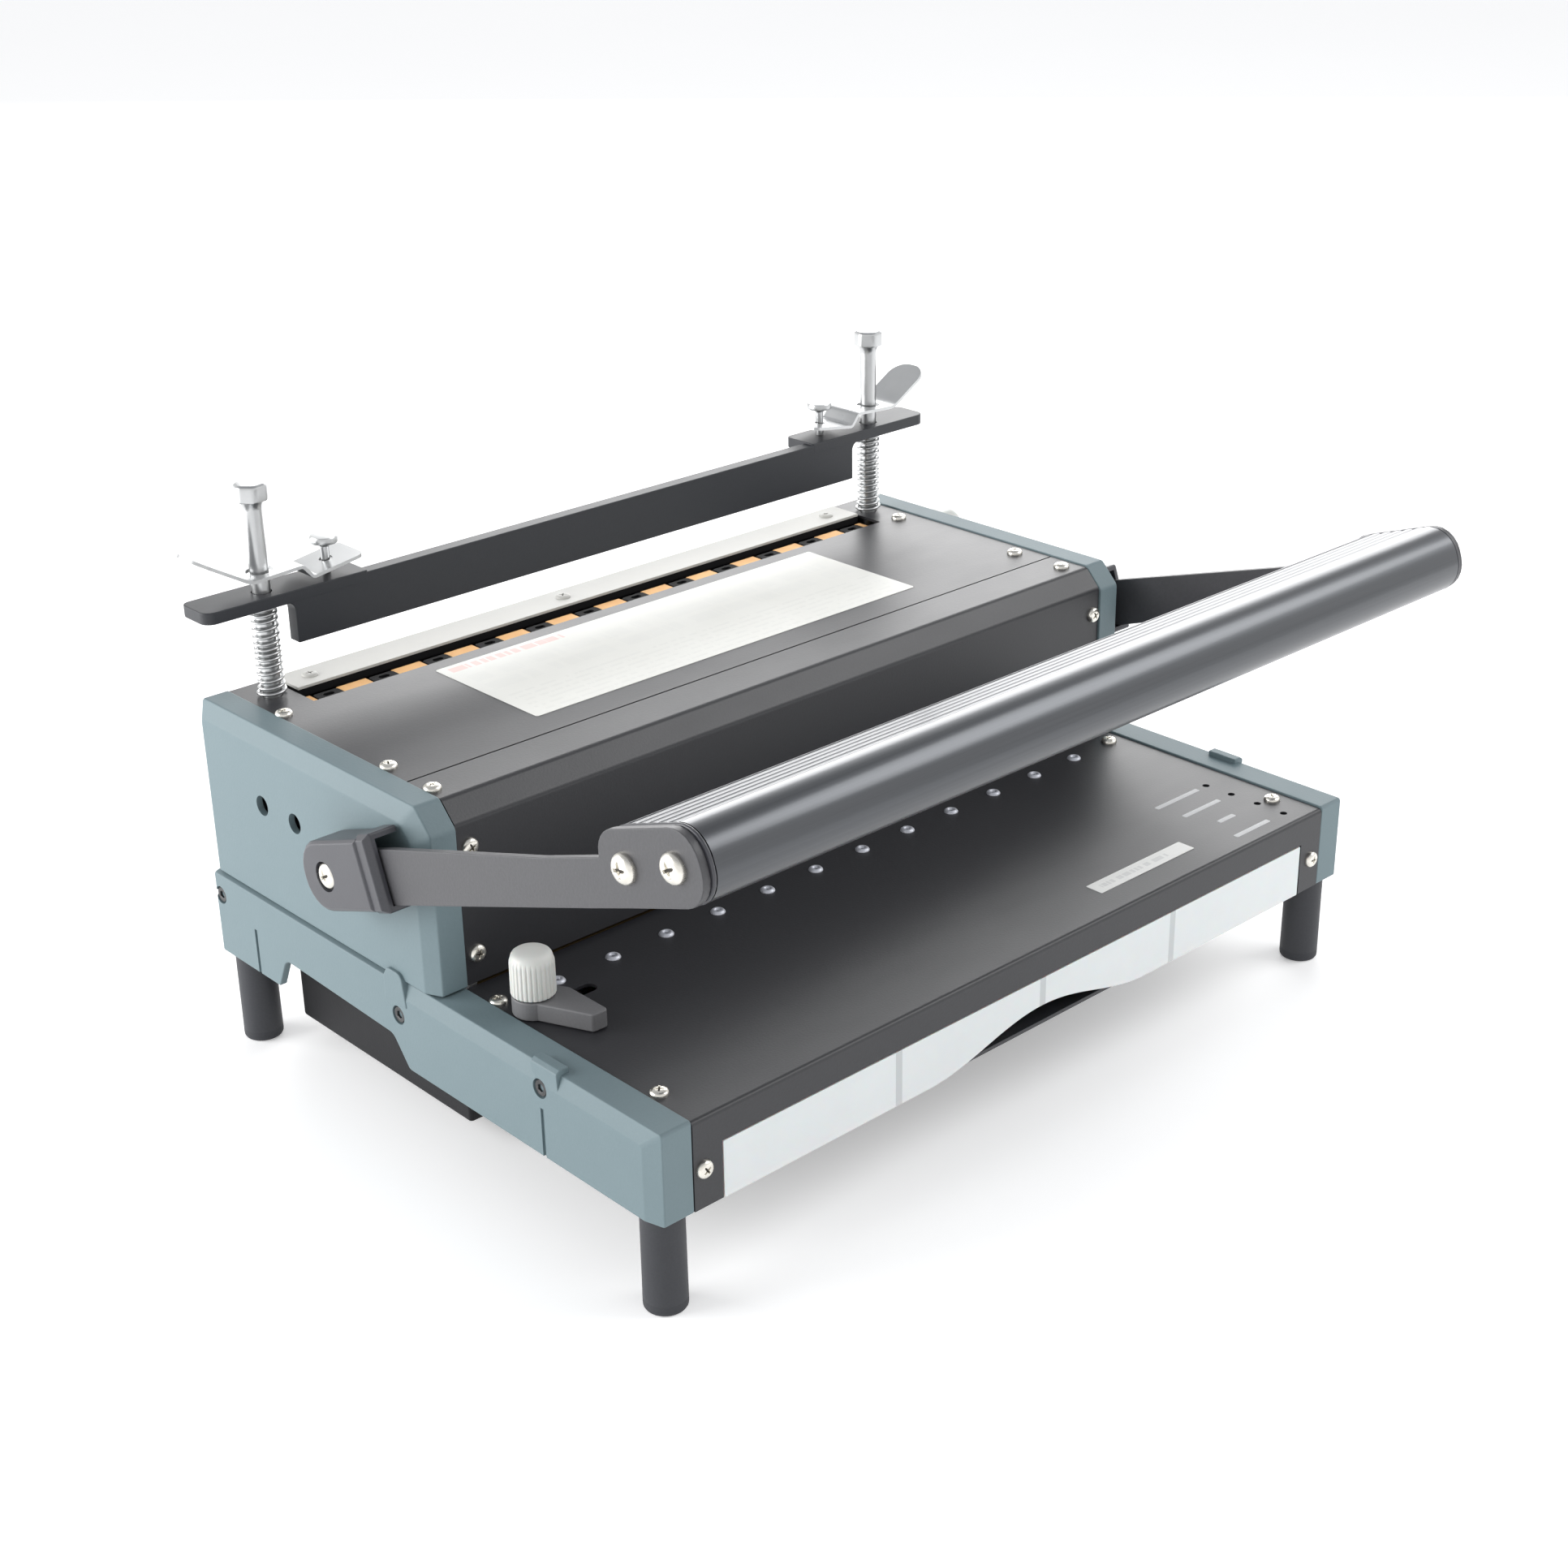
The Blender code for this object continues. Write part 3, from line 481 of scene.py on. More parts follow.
def star(angle, height=0.0):
    """A cross recess's outline, as a share of its reach: 0.34 + 0.66 * |cos 2t|^5."""
    return 0.34 + 0.66 * np.abs(np.cos(2 * angle)) ** 5


def screw_head(centre, facing, radius, height, spin):
    """A pan head at radius r, angle t: height * sqrt(1 - (r / radius)^4), less a cross recess.

    The recess is a depth wherever r is inside the star's outline, with soft edges.
    """
    side, up, out = axes(facing)
    r = np.concatenate([np.linspace(0, 0.6, 15), [0.72, 0.84, 0.93, 0.975, 1.0]])[:, None] * radius
    t = np.linspace(0, 2 * pi, 64, endpoint=False)[None, :]
    inside = np.clip((0.5 * radius * star(t) - r) / (0.06 * radius) + 0.5, 0, 1)
    top = height * (np.sqrt(np.maximum(1 - (r / radius) ** 4, 0)) + 0.15 - 0.5 * inside)
    r = np.vstack([r, [[radius]], [[0.0]]]) + 0 * t
    top = np.vstack([top, np.full((2, t.size), -0.2)])
    turned = t + spin
    place = (r * np.cos(turned))[..., None] * side + (r * np.sin(turned))[..., None] * up
    return skin(np.array(centre, float) + place + top[..., None] * out)


def recess(centre, facing, radius, height, spin):
    """Painted shade in a screw's recess: a thin near-black star just above the metal."""
    low, high = 0.5 * height, 0.8 * height
    return spun([(0, low), (0.5 * radius, low), (0.5 * radius, high), (0, high)], centre, facing, 64,
                lambda angle, level: star(angle - spin))


# The recesses' near-black stars are painted shade; a noise drifts their tone a little.
recess_shade_paint, place = new_finish("recess_shade_paint", Metallic=0.3)
recess_shade_noise = place.noise(900.0, 3.0)
place.feed(Base_Color=place.mix(recess_shade_noise, (0.012, 0.010, 0.008), (0.05, 0.042, 0.03)),
           Roughness=0.45 + 0.2 * recess_shade_noise)


def screws(name, body, fits, replaced=(), shanks=()):
    """A piece of like screws from (centre, facing, radius, height, spin), and one of shade painted in
    their recesses.
    """
    piece(name, [screw_head(*fit) for fit in fits] + list(shanks), screw_metal, body, replaced,
          smooth=50)
    piece(f"{name}_recesses", [recess(*fit) for fit in fits], recess_shade_paint, body)


def mottled(name, dark, light, gloss, drift, grain, share=0.0, **constants):
    """A finish that goes between two colours with a drifting noise and a share of a fine grain.

    drift is (scale, detail); grain is (scale, detail, depth of its dents in metres). The roughness
    is gloss[0] + gloss[1] * drift.
    """
    material, place = new_finish(name, **constants)
    drift = place.noise(*drift)
    fine = place.noise(*grain[:2])
    cloud = (1 - share) * drift + share * fine if share else drift
    place.feed(Base_Color=place.mix(cloud, dark, light), Roughness=gloss[0] + gloss[1] * drift,
               Normal=place.dent(fine, grain[2]))
    return material


screw_metal = mottled("screw_metal", (0.70, 0.67, 0.60), (0.88, 0.86, 0.80), (0.2, 0.14),
                      (260.0, 3.0), (2600.0, 1.0, 0.000003), Metallic=1.0)

table_screws = [(-166.6, 107.3), (-165.4, 21.2), (161.5, 105.9), (162.5, 19.8)]
top_screws = [(-167.0, 232.8), (-166.7, 164.5), (-166.6, 137.9), (161.1, 234.2), (161.6, 163.3),
              (162.1, 136.7)]
panel_screws = [(-164.1, 127.6), (-164.3, 85.9), (166.0, 126.1), (166.0, 85.9)]
face_screws = [(-165.1, 53.4), (164.1, 52.0)]
rear_screws = [(-160.0, 130.0), (160.0, 130.0), (-160.0, 54.0), (160.0, 54.0)]
top_z = 145.0
panel_y, rear_y = 121.6, 268.2
golden_angle = 2.4
cover_seats = [((x, y, table_z), (0, 0, 1)) for x, y in table_screws]
cover_seats += [((x, y, top_z), (0, 0, 1)) for x, y in top_screws]
cover_seats += [((x, panel_y, z), (0, -1, 0)) for x, z in panel_screws]
cover_seats += [((x, 0.0, z), (0, -1, 0)) for x, z in face_screws]
cover_seats += [((x, rear_y, z), (0, 1, 0)) for x, z in rear_screws]
screws("cover_screws", "base", [(seat, facing, 3.4, 1.7, golden_angle * i)
                                for i, (seat, facing) in enumerate(cover_seats)])


# ---- Hole studs --------------------------------------------------------------------------------
# Twelve bright studs stand in a row on the table, one before each punch, a standard pitch apart.
# Each is a turned steel button with a dimple in its crown, dulled by blue zinc; painted shade fills
# each dimple.
stud_zinc, place = new_finish("stud_zinc", Metallic=0.55, Specular_IOR_Level=0.5)
drift = place.noise(300.0, 3.0)
place.feed(Base_Color=place.mix(drift, (0.56, 0.575, 0.63), (0.70, 0.715, 0.77)),
           Roughness=0.4 + 0.12 * place.noise(700.0, 2.0))
hole_pitch = 25.4
pins = [-142.3 + hole_pitch * i for i in range(12)]
stud_profile = [(0, -0.1), (0.8, -0.05), (0.95, 0.35), (1.15, 0.75), (1.5, 1.05), (1.9, 1.08),
                (2.35, 0.9), (2.75, 0.52), (2.95, 0.1), (2.95, -0.2), (0, -0.2)]
dimple_profile = [(0, -0.15), (0.9, -0.15), (0.9, 0.12), (0, 0.16)]
stud_seats = [(x, 104.75, table_z) for x in pins]
piece("hole_studs", [spun(stud_profile, seat, sides=28) for seat in stud_seats], stud_zinc, "base",
      smooth=50)
# A dark disc in the covers' paint sits in each dimple as painted shade.
piece("stud_dimple_shade", [spun(dimple_profile, seat, sides=20) for seat in stud_seats], cover_paint,
      "base")


# ---- Lower side casings ------------------------------------------------------------------------
# Blue-grey moulded plastic with a spark-eroded grain. Each has a flat rim, a chamfer all round the
# side face, ribs and lugs where its screws go, two moulded grooves and a cut-away lower edge.
casing_plastic, place = new_finish("casing_plastic", Specular_IOR_Level=0.45)
grain = place.noise(900.0, 3.0)
drift = place.noise(5.0, 3.0)
cloud = place.noise(60.0, 4.0)
place.feed(Base_Color=place.mix(0.5 * drift + 0.3 * grain + 0.2 * cloud, (0.118, 0.168, 0.186),
                                (0.172, 0.232, 0.250)),
           Roughness=0.47 + 0.08 * grain + 0.06 * cloud, Normal=place.dent(grain, 0.00006))

casing_in, casing_edge, casing_out = 169.8, 182.4, 184.5
casing_back, casing_foot, casing_top = 269.5, 38.3, 73.5
arch = [(140.5, casing_foot, 2.5), (149.5, 49.6, 5.0), (206.0, 51.4, 3.0), (221.0, 51.8, 5.0),
        (227.5, casing_foot, 0.8)]
lower_rim = [(0, casing_foot, 0.8), *arch, (casing_back, casing_foot, 0.8),
             (casing_back, casing_top, 1.0), (150, casing_top, 0.2), (143, casing_top, 0.2),
             (0, casing_top, 1.4)]
lower_face = [(7.8, casing_foot, 0.8), *arch, (casing_back - 0.5, casing_foot, 0.8),
              (casing_back - 0.5, casing_top - 0.6, 1.0), (150, casing_top - 0.6, 2.0),
              (143, 67.2, 2.0), (7.8, 67.2, 1.4)]
inner_wall = corners_of((2.5, 20), (casing_back - 2.5, 71.5), 1.0)
deep_wall = corners_of((9.5, 20), (casing_back - 5.5, 65.0), 1.0)
front_lug = [(179.0, 69.0, 0.3), (casing_out - 0.3, 60.0, 0.3), (casing_out, 74.4, 0.9),
             (182.9, 75.6, 0.9), (179.0, 75.6, 0.5)]
rear_lug = [(138.6, 64.0, 0.5), (152.0, 64.0, 0.5), (152.0, 73.0, 0.5), (149.6, 77.2, 3.0),
            (140.6, 77.2, 3.4)]
side_screws = [(265.6, 63.8), (144.7, 59.2), (61.2, 65.1)]
groove_ys = (241.5, 60.6)
SIDES = (("left", -1), ("right", 1))


def side_casing(level, side, sign, sections, edge, room, deep, cuts, welds=()):
    """A casing through (offset, corners) sections, hollowed by a room that narrows at its end.

    The room starts inside the machine, keeps its outline up to x 178, and ends in deep's section.
    """
    hollow = loft("x", *[(sign * offset, fillet(corners))
                         for offset, corners in ((160, room), (178, room), deep)])
    casing = soft_loft("x", [(sign * offset, corners) for offset, corners in sections], edge)
    piece(f"{level}_side_casing_{side}", [casing], casing_plastic, "base",
          [f"{level}_casing_{side}"], welds=welds, cuts=[hollow, *cuts])


for side, sign in SIDES:
    wells = [prism(disc(centre, 3.7, 28), sign * 183.1, sign * 190) for centre in side_screws]
    grooves = [box((sign * 183.7, y - 0.9, 30), (sign * 190, y + 0.9, 57.5)) for y in groove_ys]
    lug = soft_loft("y", [(51.5, front_lug), (65.5, front_lug)], 0.5,
                    lambda outline: outline * (sign, 1))
    side_casing("lower", side, sign, [(casing_in, lower_rim), (casing_edge, lower_rim),
                                      (casing_out, lower_face)], 0.55,
                inner_wall, (181.6, deep_wall), [*wells, *grooves],
                [lug, slab(rear_lug, sign * 179.0, sign * 184.9, "x", 0.6)])


# ---- Casing screws -----------------------------------------------------------------------------
# Blackened socket screws hold the lower casings. Their heads are sunk in round wells, and a
# six-sided key turns them.
black_steel = mottled("black_steel", (0.05, 0.05, 0.052), (0.12, 0.12, 0.12), (0.32, 0.15),
                      (300.0, 3.0), (2400.0, 1.0, 0.00001), Metallic=0.9)


def six_sided(angle, height):
    """Radius of a hexagon round the circle that touches its sides: 1 / cos of the angle off a side."""
    return 1 / np.cos((angle + pi / 6) % (pi / 3) - pi / 6)


def socket_screw(centre, sign):
    """A cylinder head whose crown drops into a six-sided socket."""
    crown = [(0, 0), (3.2, 0), (3.2, 0.75), (2.9, 1.1), (1.75, 1.1)]
    rings = spun(crown, centre, (sign, 0, 0), 36)[0].reshape(len(crown), 36, 3)
    socket = spun([(1.45, 0.95), (1.45, -0.8), (0, -0.8)], centre, (sign, 0, 0), 36, six_sided)[0]
    return skin(np.concatenate([rings, socket.reshape(3, 36, 3)]))


sockets = [socket_screw((sign * 183.0, y, z), sign) for sign in (-1, 1) for y, z in side_screws]
piece("casing_screws", sockets, black_steel, "base", smooth=30)


# ---- Upper side casings ------------------------------------------------------------------------
# The tower's two ends, moulded like the lower casings: flat rim, chamfer, hole for the shaft, and
# two round vents on the left one. They sit 0.4 mm above the lower casings.
upper_foot, upper_top, upper_out = 74.4, 145.6, 183.5
upper_back = 268.6
upper_rim = [(120.6, upper_foot, 0.8), (upper_back, upper_foot, 0.8),
             (upper_back, upper_top, 1.5), (129.2, upper_top, 3.0), (120.6, 136.6, 3.0)]
upper_face = [(127.6, upper_foot, 0.8), (upper_back - 2.6, upper_foot, 0.8),
              (upper_back - 2.6, 138.6, 2.0), (134.4, 138.6, 4.5), (127.6, 131.4, 4.5)]
upper_room = [(123.1, 60, 0.3), (266.1, 60, 0.3), (266.1, 143.1, 1), (130.3, 143.1, 1),
              (123.1, 135.5, 1)]
upper_deep = [(130.1, 60, 0.3), (262.1, 60, 0.3), (262.1, 136, 1), (135.9, 136, 1),
              (130.1, 130.0, 1)]
vents = [(227.1, 114.7), (204.9, 114.7)]
pivot = (161.0, 114.0)
knob_seat = (237.0, 125.0)
for side, sign in SIDES:
    holes = [(pivot, 8.5)]
    holes += [(vent, 4.0) for vent in vents] if sign < 0 else [(knob_seat, 4.5)]
    bores = [prism(disc(centre, radius, 36), sign * 179, sign * 190) for centre, radius in holes]
    side_casing("upper", side, sign, [(casing_in, upper_rim), (180.5, upper_rim),
                                      (upper_out, upper_face)], 0.6,
                upper_room, (181, upper_deep), bores)


# ---- Top cover ---------------------------------------------------------------------------------
# A second folded sheet in the same powder coat: front panel, leaning crease and flat top. A fine
# joint crosses the top behind the crease, and the binding channel is cut from the rear edge.
channel_y, channel_half = 236.5, 151.5
crease_y, crease_z = 128.9, 137.3
posts = [(-159.5, 252.5), (159.5, 252.5)]
top_fold = fillet([(panel_y, 74.4, 0.3), (panel_y, crease_z, 3.0), (crease_y, top_z, 3.0),
                   (rear_y, top_z, 0.3), (rear_y, top_z - sheet, 0.1),
                   (crease_y + 0.6, top_z - sheet, 1.8), (panel_y + sheet, crease_z - 0.5, 1.8),
                   (panel_y + sheet, 74.4, 0.3)])
piece("top_cover_sheet", [prism(top_fold, -cover_half, cover_half)], cover_paint, "base",
      ["top_cover"],
      cuts=[box((-channel_half, channel_y, 140), (channel_half, 280, 150)),
            box((-180, 148.8, top_z - 0.6), (180, 149.6, 150))]
      + [prism(disc(post, 3.9, 28), 140, 150, "z") for post in posts])
piece("rear_cover_sheet", [soft_box((-cover_half, 267.0, 40.5), (cover_half, 268.2, 143.4), 0.25)],
      cover_paint, "base", ["rear_cover"])


# ---- Labels ------------------------------------------------------------------------------------
# Printed plastic labels stuck to the top and to the table: a cream ground, with dashed rows in
# place of any words, and four grey strokes of a scale printed on the table.
def label_card(low, high, z, radius, thick=0.18):
    """A thin plate with round corners, its top edge slightly drawn in."""
    (x0, y0), (x1, y1), lip = low, high, 0.1
    plate = fillet(corners_of(low, high, radius))
    top = fillet(corners_of((x0 + lip, y0 + lip), (x1 - lip, y1 - lip), radius))
    return loft("z", (z, plate), (z + thick * 0.6, plate), (z + thick, top))


def bars(place, x0, x1, y0, y1, rows, fill, words):
    """A mask of dashed rows inside a rectangle given in millimetres; fill is a row's inked share."""
    x, y = place.axis("X"), place.axis("Y")
    low, high = y0 * MM + front_y, y1 * MM + front_y
    inside = (x > x0 * MM) * (x < x1 * MM) * (y > low) * (y < high)
    step = (high - low) / rows
    row = (y - low) * (1 / step)
    line = row.math("FRACT", row) < fill
    ends = row.math("FLOOR", row)
    spot = place.node("ShaderNodeCombineXYZ", {}, {0: x * words, 1: ends * 7.3})
    dash = place.node("ShaderNodeTexNoise", {"noise_dimensions": "2D"},
                      {"Vector": spot, "Scale": 1.0, "Detail": 3.0}) > 0.46
    return inside * line * dash


label_print, place = new_finish("label_print", Specular_IOR_Level=0.5)
cream = place.mix(place.noise(40.0, 4.0), (0.71, 0.71, 0.665), (0.80, 0.80, 0.76))
small_print = bars(place, -96, 96, 167, 191, 6, 0.4, 300.0)
sketches = bars(place, -96, 96, 196, 219, 2, 0.7, 110.0)
heading = bars(place, -97, -42, 222, 227, 1, 0.9, 420.0)
ink = place.mix(0.07 * small_print, cream, (0.32, 0.33, 0.33))
ink = place.mix(0.05 * sketches, ink, (0.45, 0.48, 0.50))
ink = place.mix(0.40 * heading, ink, (0.80, 0.22, 0.18))
place.feed(Base_Color=ink, Roughness=0.38 + 0.1 * place.noise(90.0, 3.0))
piece("instruction_label", [label_card((-100.9, 164.0), (99.6, 229.2), top_z + 0.01, 1.2)],
      label_print, "base")

tag_print, place = new_finish("tag_print", Specular_IOR_Level=0.5)
cream = place.mix(place.noise(60.0, 4.0), (0.66, 0.67, 0.65), (0.78, 0.78, 0.76))
marks = bars(place, 52, 92, 16.2, 18.8, 1, 0.99, 420.0)
place.feed(Base_Color=place.mix(0.35 * marks, cream, (0.35, 0.36, 0.37)),
           Roughness=0.4 + 0.1 * place.noise(120.0, 3.0))
piece("table_label", [label_card((48.0, 13.5), (104.0, 21.5), table_z + 0.01, 0.5)],
      tag_print, "base")

scale_print, place = new_finish("scale_print", Specular_IOR_Level=0.5)
place.feed(Base_Color=place.mix(place.noise(3000.0, 3.0), (0.36, 0.37, 0.38), (0.62, 0.63, 0.64)),
           Roughness=0.45 + 0.1 * place.noise(120.0, 3.0))
scale_marks = [((122, 46.2), (149, 48.6)), ((124, 33.6), (147, 36.0)), ((130, 20.6), (140, 23.0)),
               ((124, 7.6), (145.5, 10.0))]
piece("scale_marks", [label_card(low, high, table_z + 0.005, 0.6, 0.05)
                      for low, high in scale_marks], scale_print, "base")


# ---- Binding channel ---------------------------------------------------------------------------
# A yellow-zinc steel bar lies in the channel with black plastic guides at each pin; behind it is a
# pale wear strip, painted after its three screws were driven in.
yellow_zinc, place = new_finish("yellow_zinc", Metallic=0.45)
drift = place.noise(45.0, 4.0)
stain = place.noise(160.0, 3.0)
place.feed(Base_Color=place.mix(drift, (0.52, 0.26, 0.065), (0.69, 0.40, 0.14)),
           Roughness=0.42 + 0.2 * stain, Normal=place.dent(stain, 0.00004))
guide_half, end_reach = 5.9, 9.0
spans = [(x + guide_half, x + hole_pitch - guide_half) for x in pins[:-1]]
spans += [(pins[0] - end_reach, pins[0] - guide_half), (pins[-1] + guide_half, pins[-1] + end_reach)]
tongues = [soft_box((left, 236.9, 139.6), (right, 244.8, 143.9), 0.3) for left, right in spans]
piece("channel_bar", [box((-150.5, 237.2, 136.6), (150.5, 244.5, 139.5)), *tongues], yellow_zinc,
      "base", ["anvil_bar"])

guide_black = powder_coat("guide_black", (0.008, 0.008, 0.009), 0.7, shine=0.12)
blocks = [slab([(x - 5.7, 236.8, 0.5), (x + 5.7, 236.8, 0.5), (x + 5.7, 243.6, 1.4),
                (x - 5.7, 243.6, 1.4)], 139.6, 144.2, "z", 0.3) for x in pins]
eyes = [prism(fillet(corners_of((x - 2.4, 239.2), (x + 2.4, 241.8), 1.2)), 141.2, 150, "z")
        for x in pins]
piece("pin_guides", blocks, guide_black, "base", cuts=[eyes])
piece("channel_floor", [soft_box((-150.8, 244.9, 134.0), (150.8, 249.3, 137.0), 0.3)], guide_black,
      "base")

strip_paint, place = new_finish("strip_paint", Specular_IOR_Level=0.5)
drift = place.noise(18.0, 4.0)
grime = place.noise(150.0, 5.0)
place.feed(Base_Color=place.mix(0.6 * drift + 0.4 * grime, (0.47, 0.465, 0.435), (0.60, 0.595, 0.565)),
           Roughness=0.42 + 0.12 * grime, Normal=place.dent(place.noise(1300.0, 2.0), 0.00002))
strip_z = 146.2
strip_screws = [((x, 258.0, strip_z), (0, 0, 1), 3.2, 0.9, golden_angle * i)
                for i, x in enumerate((-139.3, -15.0, 137.7))]
piece("strip_screws", [screw_head(*fit) for fit in strip_screws], strip_paint, "base",
      smooth=50)
# The strip screws' recesses get the same painted shade.
piece("strip_screws_recesses", [recess(*fit) for fit in strip_screws], recess_shade_paint, "base")
piece("wear_strip", [soft_box((-150.0, 249.6, 145.0), (150.0, 266.2, strip_z), 0.2)], strip_paint,
      "base", ["rear_strip"])
piece("strip_bed", [box((-150.0, 249.7, 142.0), (150.0, 266.1, 144.98))], guide_black, "base")


# ---- Underside ---------------------------------------------------------------------------------
# Folded black box for the cut pin ends, below the channel, and a floor plate; four tall rubbery
# plastic feet with a rounded rim are screwed up into the casings.
box_paint = powder_coat("box_paint", (0.012, 0.0122, 0.014), 0.55, shine=0.25)
piece("cutter_box", [slab(corners_of((-163.0, 136.0), (163.0, 250.0), 1.6), 8.0, 38.0, "z", 1.4)],
      box_paint, "base", ["cutter_housing"],
      cuts=[[box((-161.5, 137.5, 9.5), (161.5, 248.5, 60.0))]])

foot_rubber, place = new_finish("foot_rubber", Specular_IOR_Level=0.4)
drift = place.noise(30.0, 3.0)
grain = place.noise(1200.0, 2.0)
dust = place.axis("Z") < 0.004
place.feed(Base_Color=place.mix(0.6 * drift + 0.4 * grain, (0.024, 0.0255, 0.030),
                                (0.047, 0.049, 0.056)),
           Roughness=0.5 + 0.1 * drift + 0.12 * dust, Normal=place.dent(grain, 0.00004))
foot_profile = [(0, 0.4), (4.6, 0.4), (4.9, 0), (6.6, 0), (7.3, 0.25), (7.7, 0.9), (7.8, 1.7),
                (7.75, 10.0), (7.65, 38.0), (0, 38.0)]
for row, y in (("front", 9.9), ("rear", 261.0)):
    for side, sign in SIDES:
        piece(f"foot_post_{row}_{side}", [spun(foot_profile, (sign * 175.4, y, 0), sides=48)],
              foot_rubber, "base", [f"foot_{row}_{side}"])


# ---- Lever -------------------------------------------------------------------------------------
# Two flat steel arms in grey-black powder coat carry a wide extruded handle. Its flat top is ribbed
# along its length, and glossy moulded caps close its ends.
lever_tilt = radians(19.6)


def on_lever(outline):
    """Points along and above the lever's centre line, turned into y and z about the shaft."""
    along, above = np.asarray(outline, float).T
    return np.stack([pivot[0] - along * cos(lever_tilt) + above * sin(lever_tilt),
                     pivot[1] + along * sin(lever_tilt) + above * cos(lever_tilt)], axis=1)


tube_low, tube_high = 163.0, 211.4
tube_under, tube_over = -11.8, 13.45
tube_corner, tube_wall = 11.5, 2.2
section = corners_of((tube_low, tube_under), (tube_high, tube_over), tube_corner)


def ribbed_outline():
    """The handle's section with its flat top pressed in by rounded grooves.

    Over the flat, the surface drops by 0.5 * |cos(pi * distance in groove pitches)|^8.
    """
    plain = fillet(section, 12)
    flat_low, flat_high = tube_low + tube_corner, tube_high - tube_corner
    along = np.linspace(flat_high - 0.4, flat_low + 0.4, 120)
    grooves = 5
    phase = (along - flat_low) / (flat_high - flat_low) * grooves * pi
    rib = np.stack([along, tube_over - 0.5 * np.abs(np.cos(phase)) ** 8], axis=1)
    cut = np.argmax((plain[:, 1] > tube_over - 1e-6) & (plain[:, 0] < flat_high + 0.01)) + 1
    return np.concatenate([plain[:cut], rib, plain[cut:]])


handle_metal, place = new_finish("handle_metal", Metallic=0.85, Specular_IOR_Level=0.6,
                                 Coat_Roughness=0.16)
streak = place.noise(1.0, 3.0, (6.0, 900.0, 900.0))
soft = place.noise(1.0, 3.0, (3.0, 120.0, 120.0))
place.feed(Base_Color=place.mix(0.5 * streak + 0.5 * soft, (0.062, 0.065, 0.071),
                                (0.112, 0.117, 0.126)),
           Roughness=0.25 + 0.12 * soft + 0.06 * streak, Coat_Weight=0.22 + 0.2 * soft,
           Normal=place.dent(streak, 0.00001))
tube_end = 188.9
piece("handle_grip", [prism(on_lever(ribbed_outline()), -tube_end, tube_end)], handle_metal,
      "lever", ["handle_tube"],
      cuts=[prism(on_lever(fillet(inset(section, tube_wall), 12)), -tube_end - 5, tube_end + 5)])

cap_plastic = mottled("cap_plastic", (0.034, 0.035, 0.042), (0.062, 0.063, 0.073), (0.26, 0.12),
                      (40.0, 4.0), (1500.0, 2.0, 0.00002), 0.4, Specular_IOR_Level=0.55)
arm_paint = powder_coat("arm_paint", (0.058, 0.058, 0.063), 0.42, 900.0, 0.00005)

arm_in, arm_out = 190.5, 193.5
screw_places = on_lever([(173.6, 0.9), (198.0, 0.9)])
arm_corners = [(-10.6, -12.0, 9.9), (60, -12.2, 60), (150, -12.0, 60), (tube_low + 8, tube_under, 9),
               (tube_high - 1.2, tube_under, 11), (tube_high - 1.2, tube_over - 0.3, 11),
               (tube_low + 0.2, tube_over - 0.3, 9.5), (tube_low - 1.6, 4.4, 1.2), (130, 4.4, 30.0),
               (40, 7.9, 40.0), (-10.6, 8.2, 9.9)]
for side, sign in SIDES:
    bores = [prism(disc(spot, 2.3, 20), sign * 180, sign * 196) for spot in screw_places]
    cap = soft_loft("x", [(sign * 189.0, inset(section, -0.1)), (sign * 190.45, inset(section, -0.1))],
                    0.8, on_lever)
    piece(f"grip_cap_{side}", [cap], cap_plastic, "lever",
          [f"handle_end_cap_{side}"], cuts=bores)
    shaft_bore = prism(disc(pivot, 7.3, 36), sign * 188, sign * 196)
    bar = soft_loft("x", [(sign * arm_in, arm_corners), (sign * arm_out, arm_corners)], 0.35,
                    on_lever)
    piece(f"lever_arm_{side}", [bar], arm_paint, "lever", [f"handle_arm_{side}"],
          cuts=[*bores, shaft_bore])
    screws(f"grip_screws_{side}", "lever",
           [((sign * arm_out, *spot), (sign, 0, 0), 5.2, 2.5, 0.2 + 0.3 * i)
            for i, spot in enumerate(screw_places)],
           [f"handle_screw_{side}_rear", f"handle_screw_{side}_front"],
           [prism(disc(spot, 2.0, 16), sign * 182, sign * (arm_out + 0.4)) for spot in screw_places])


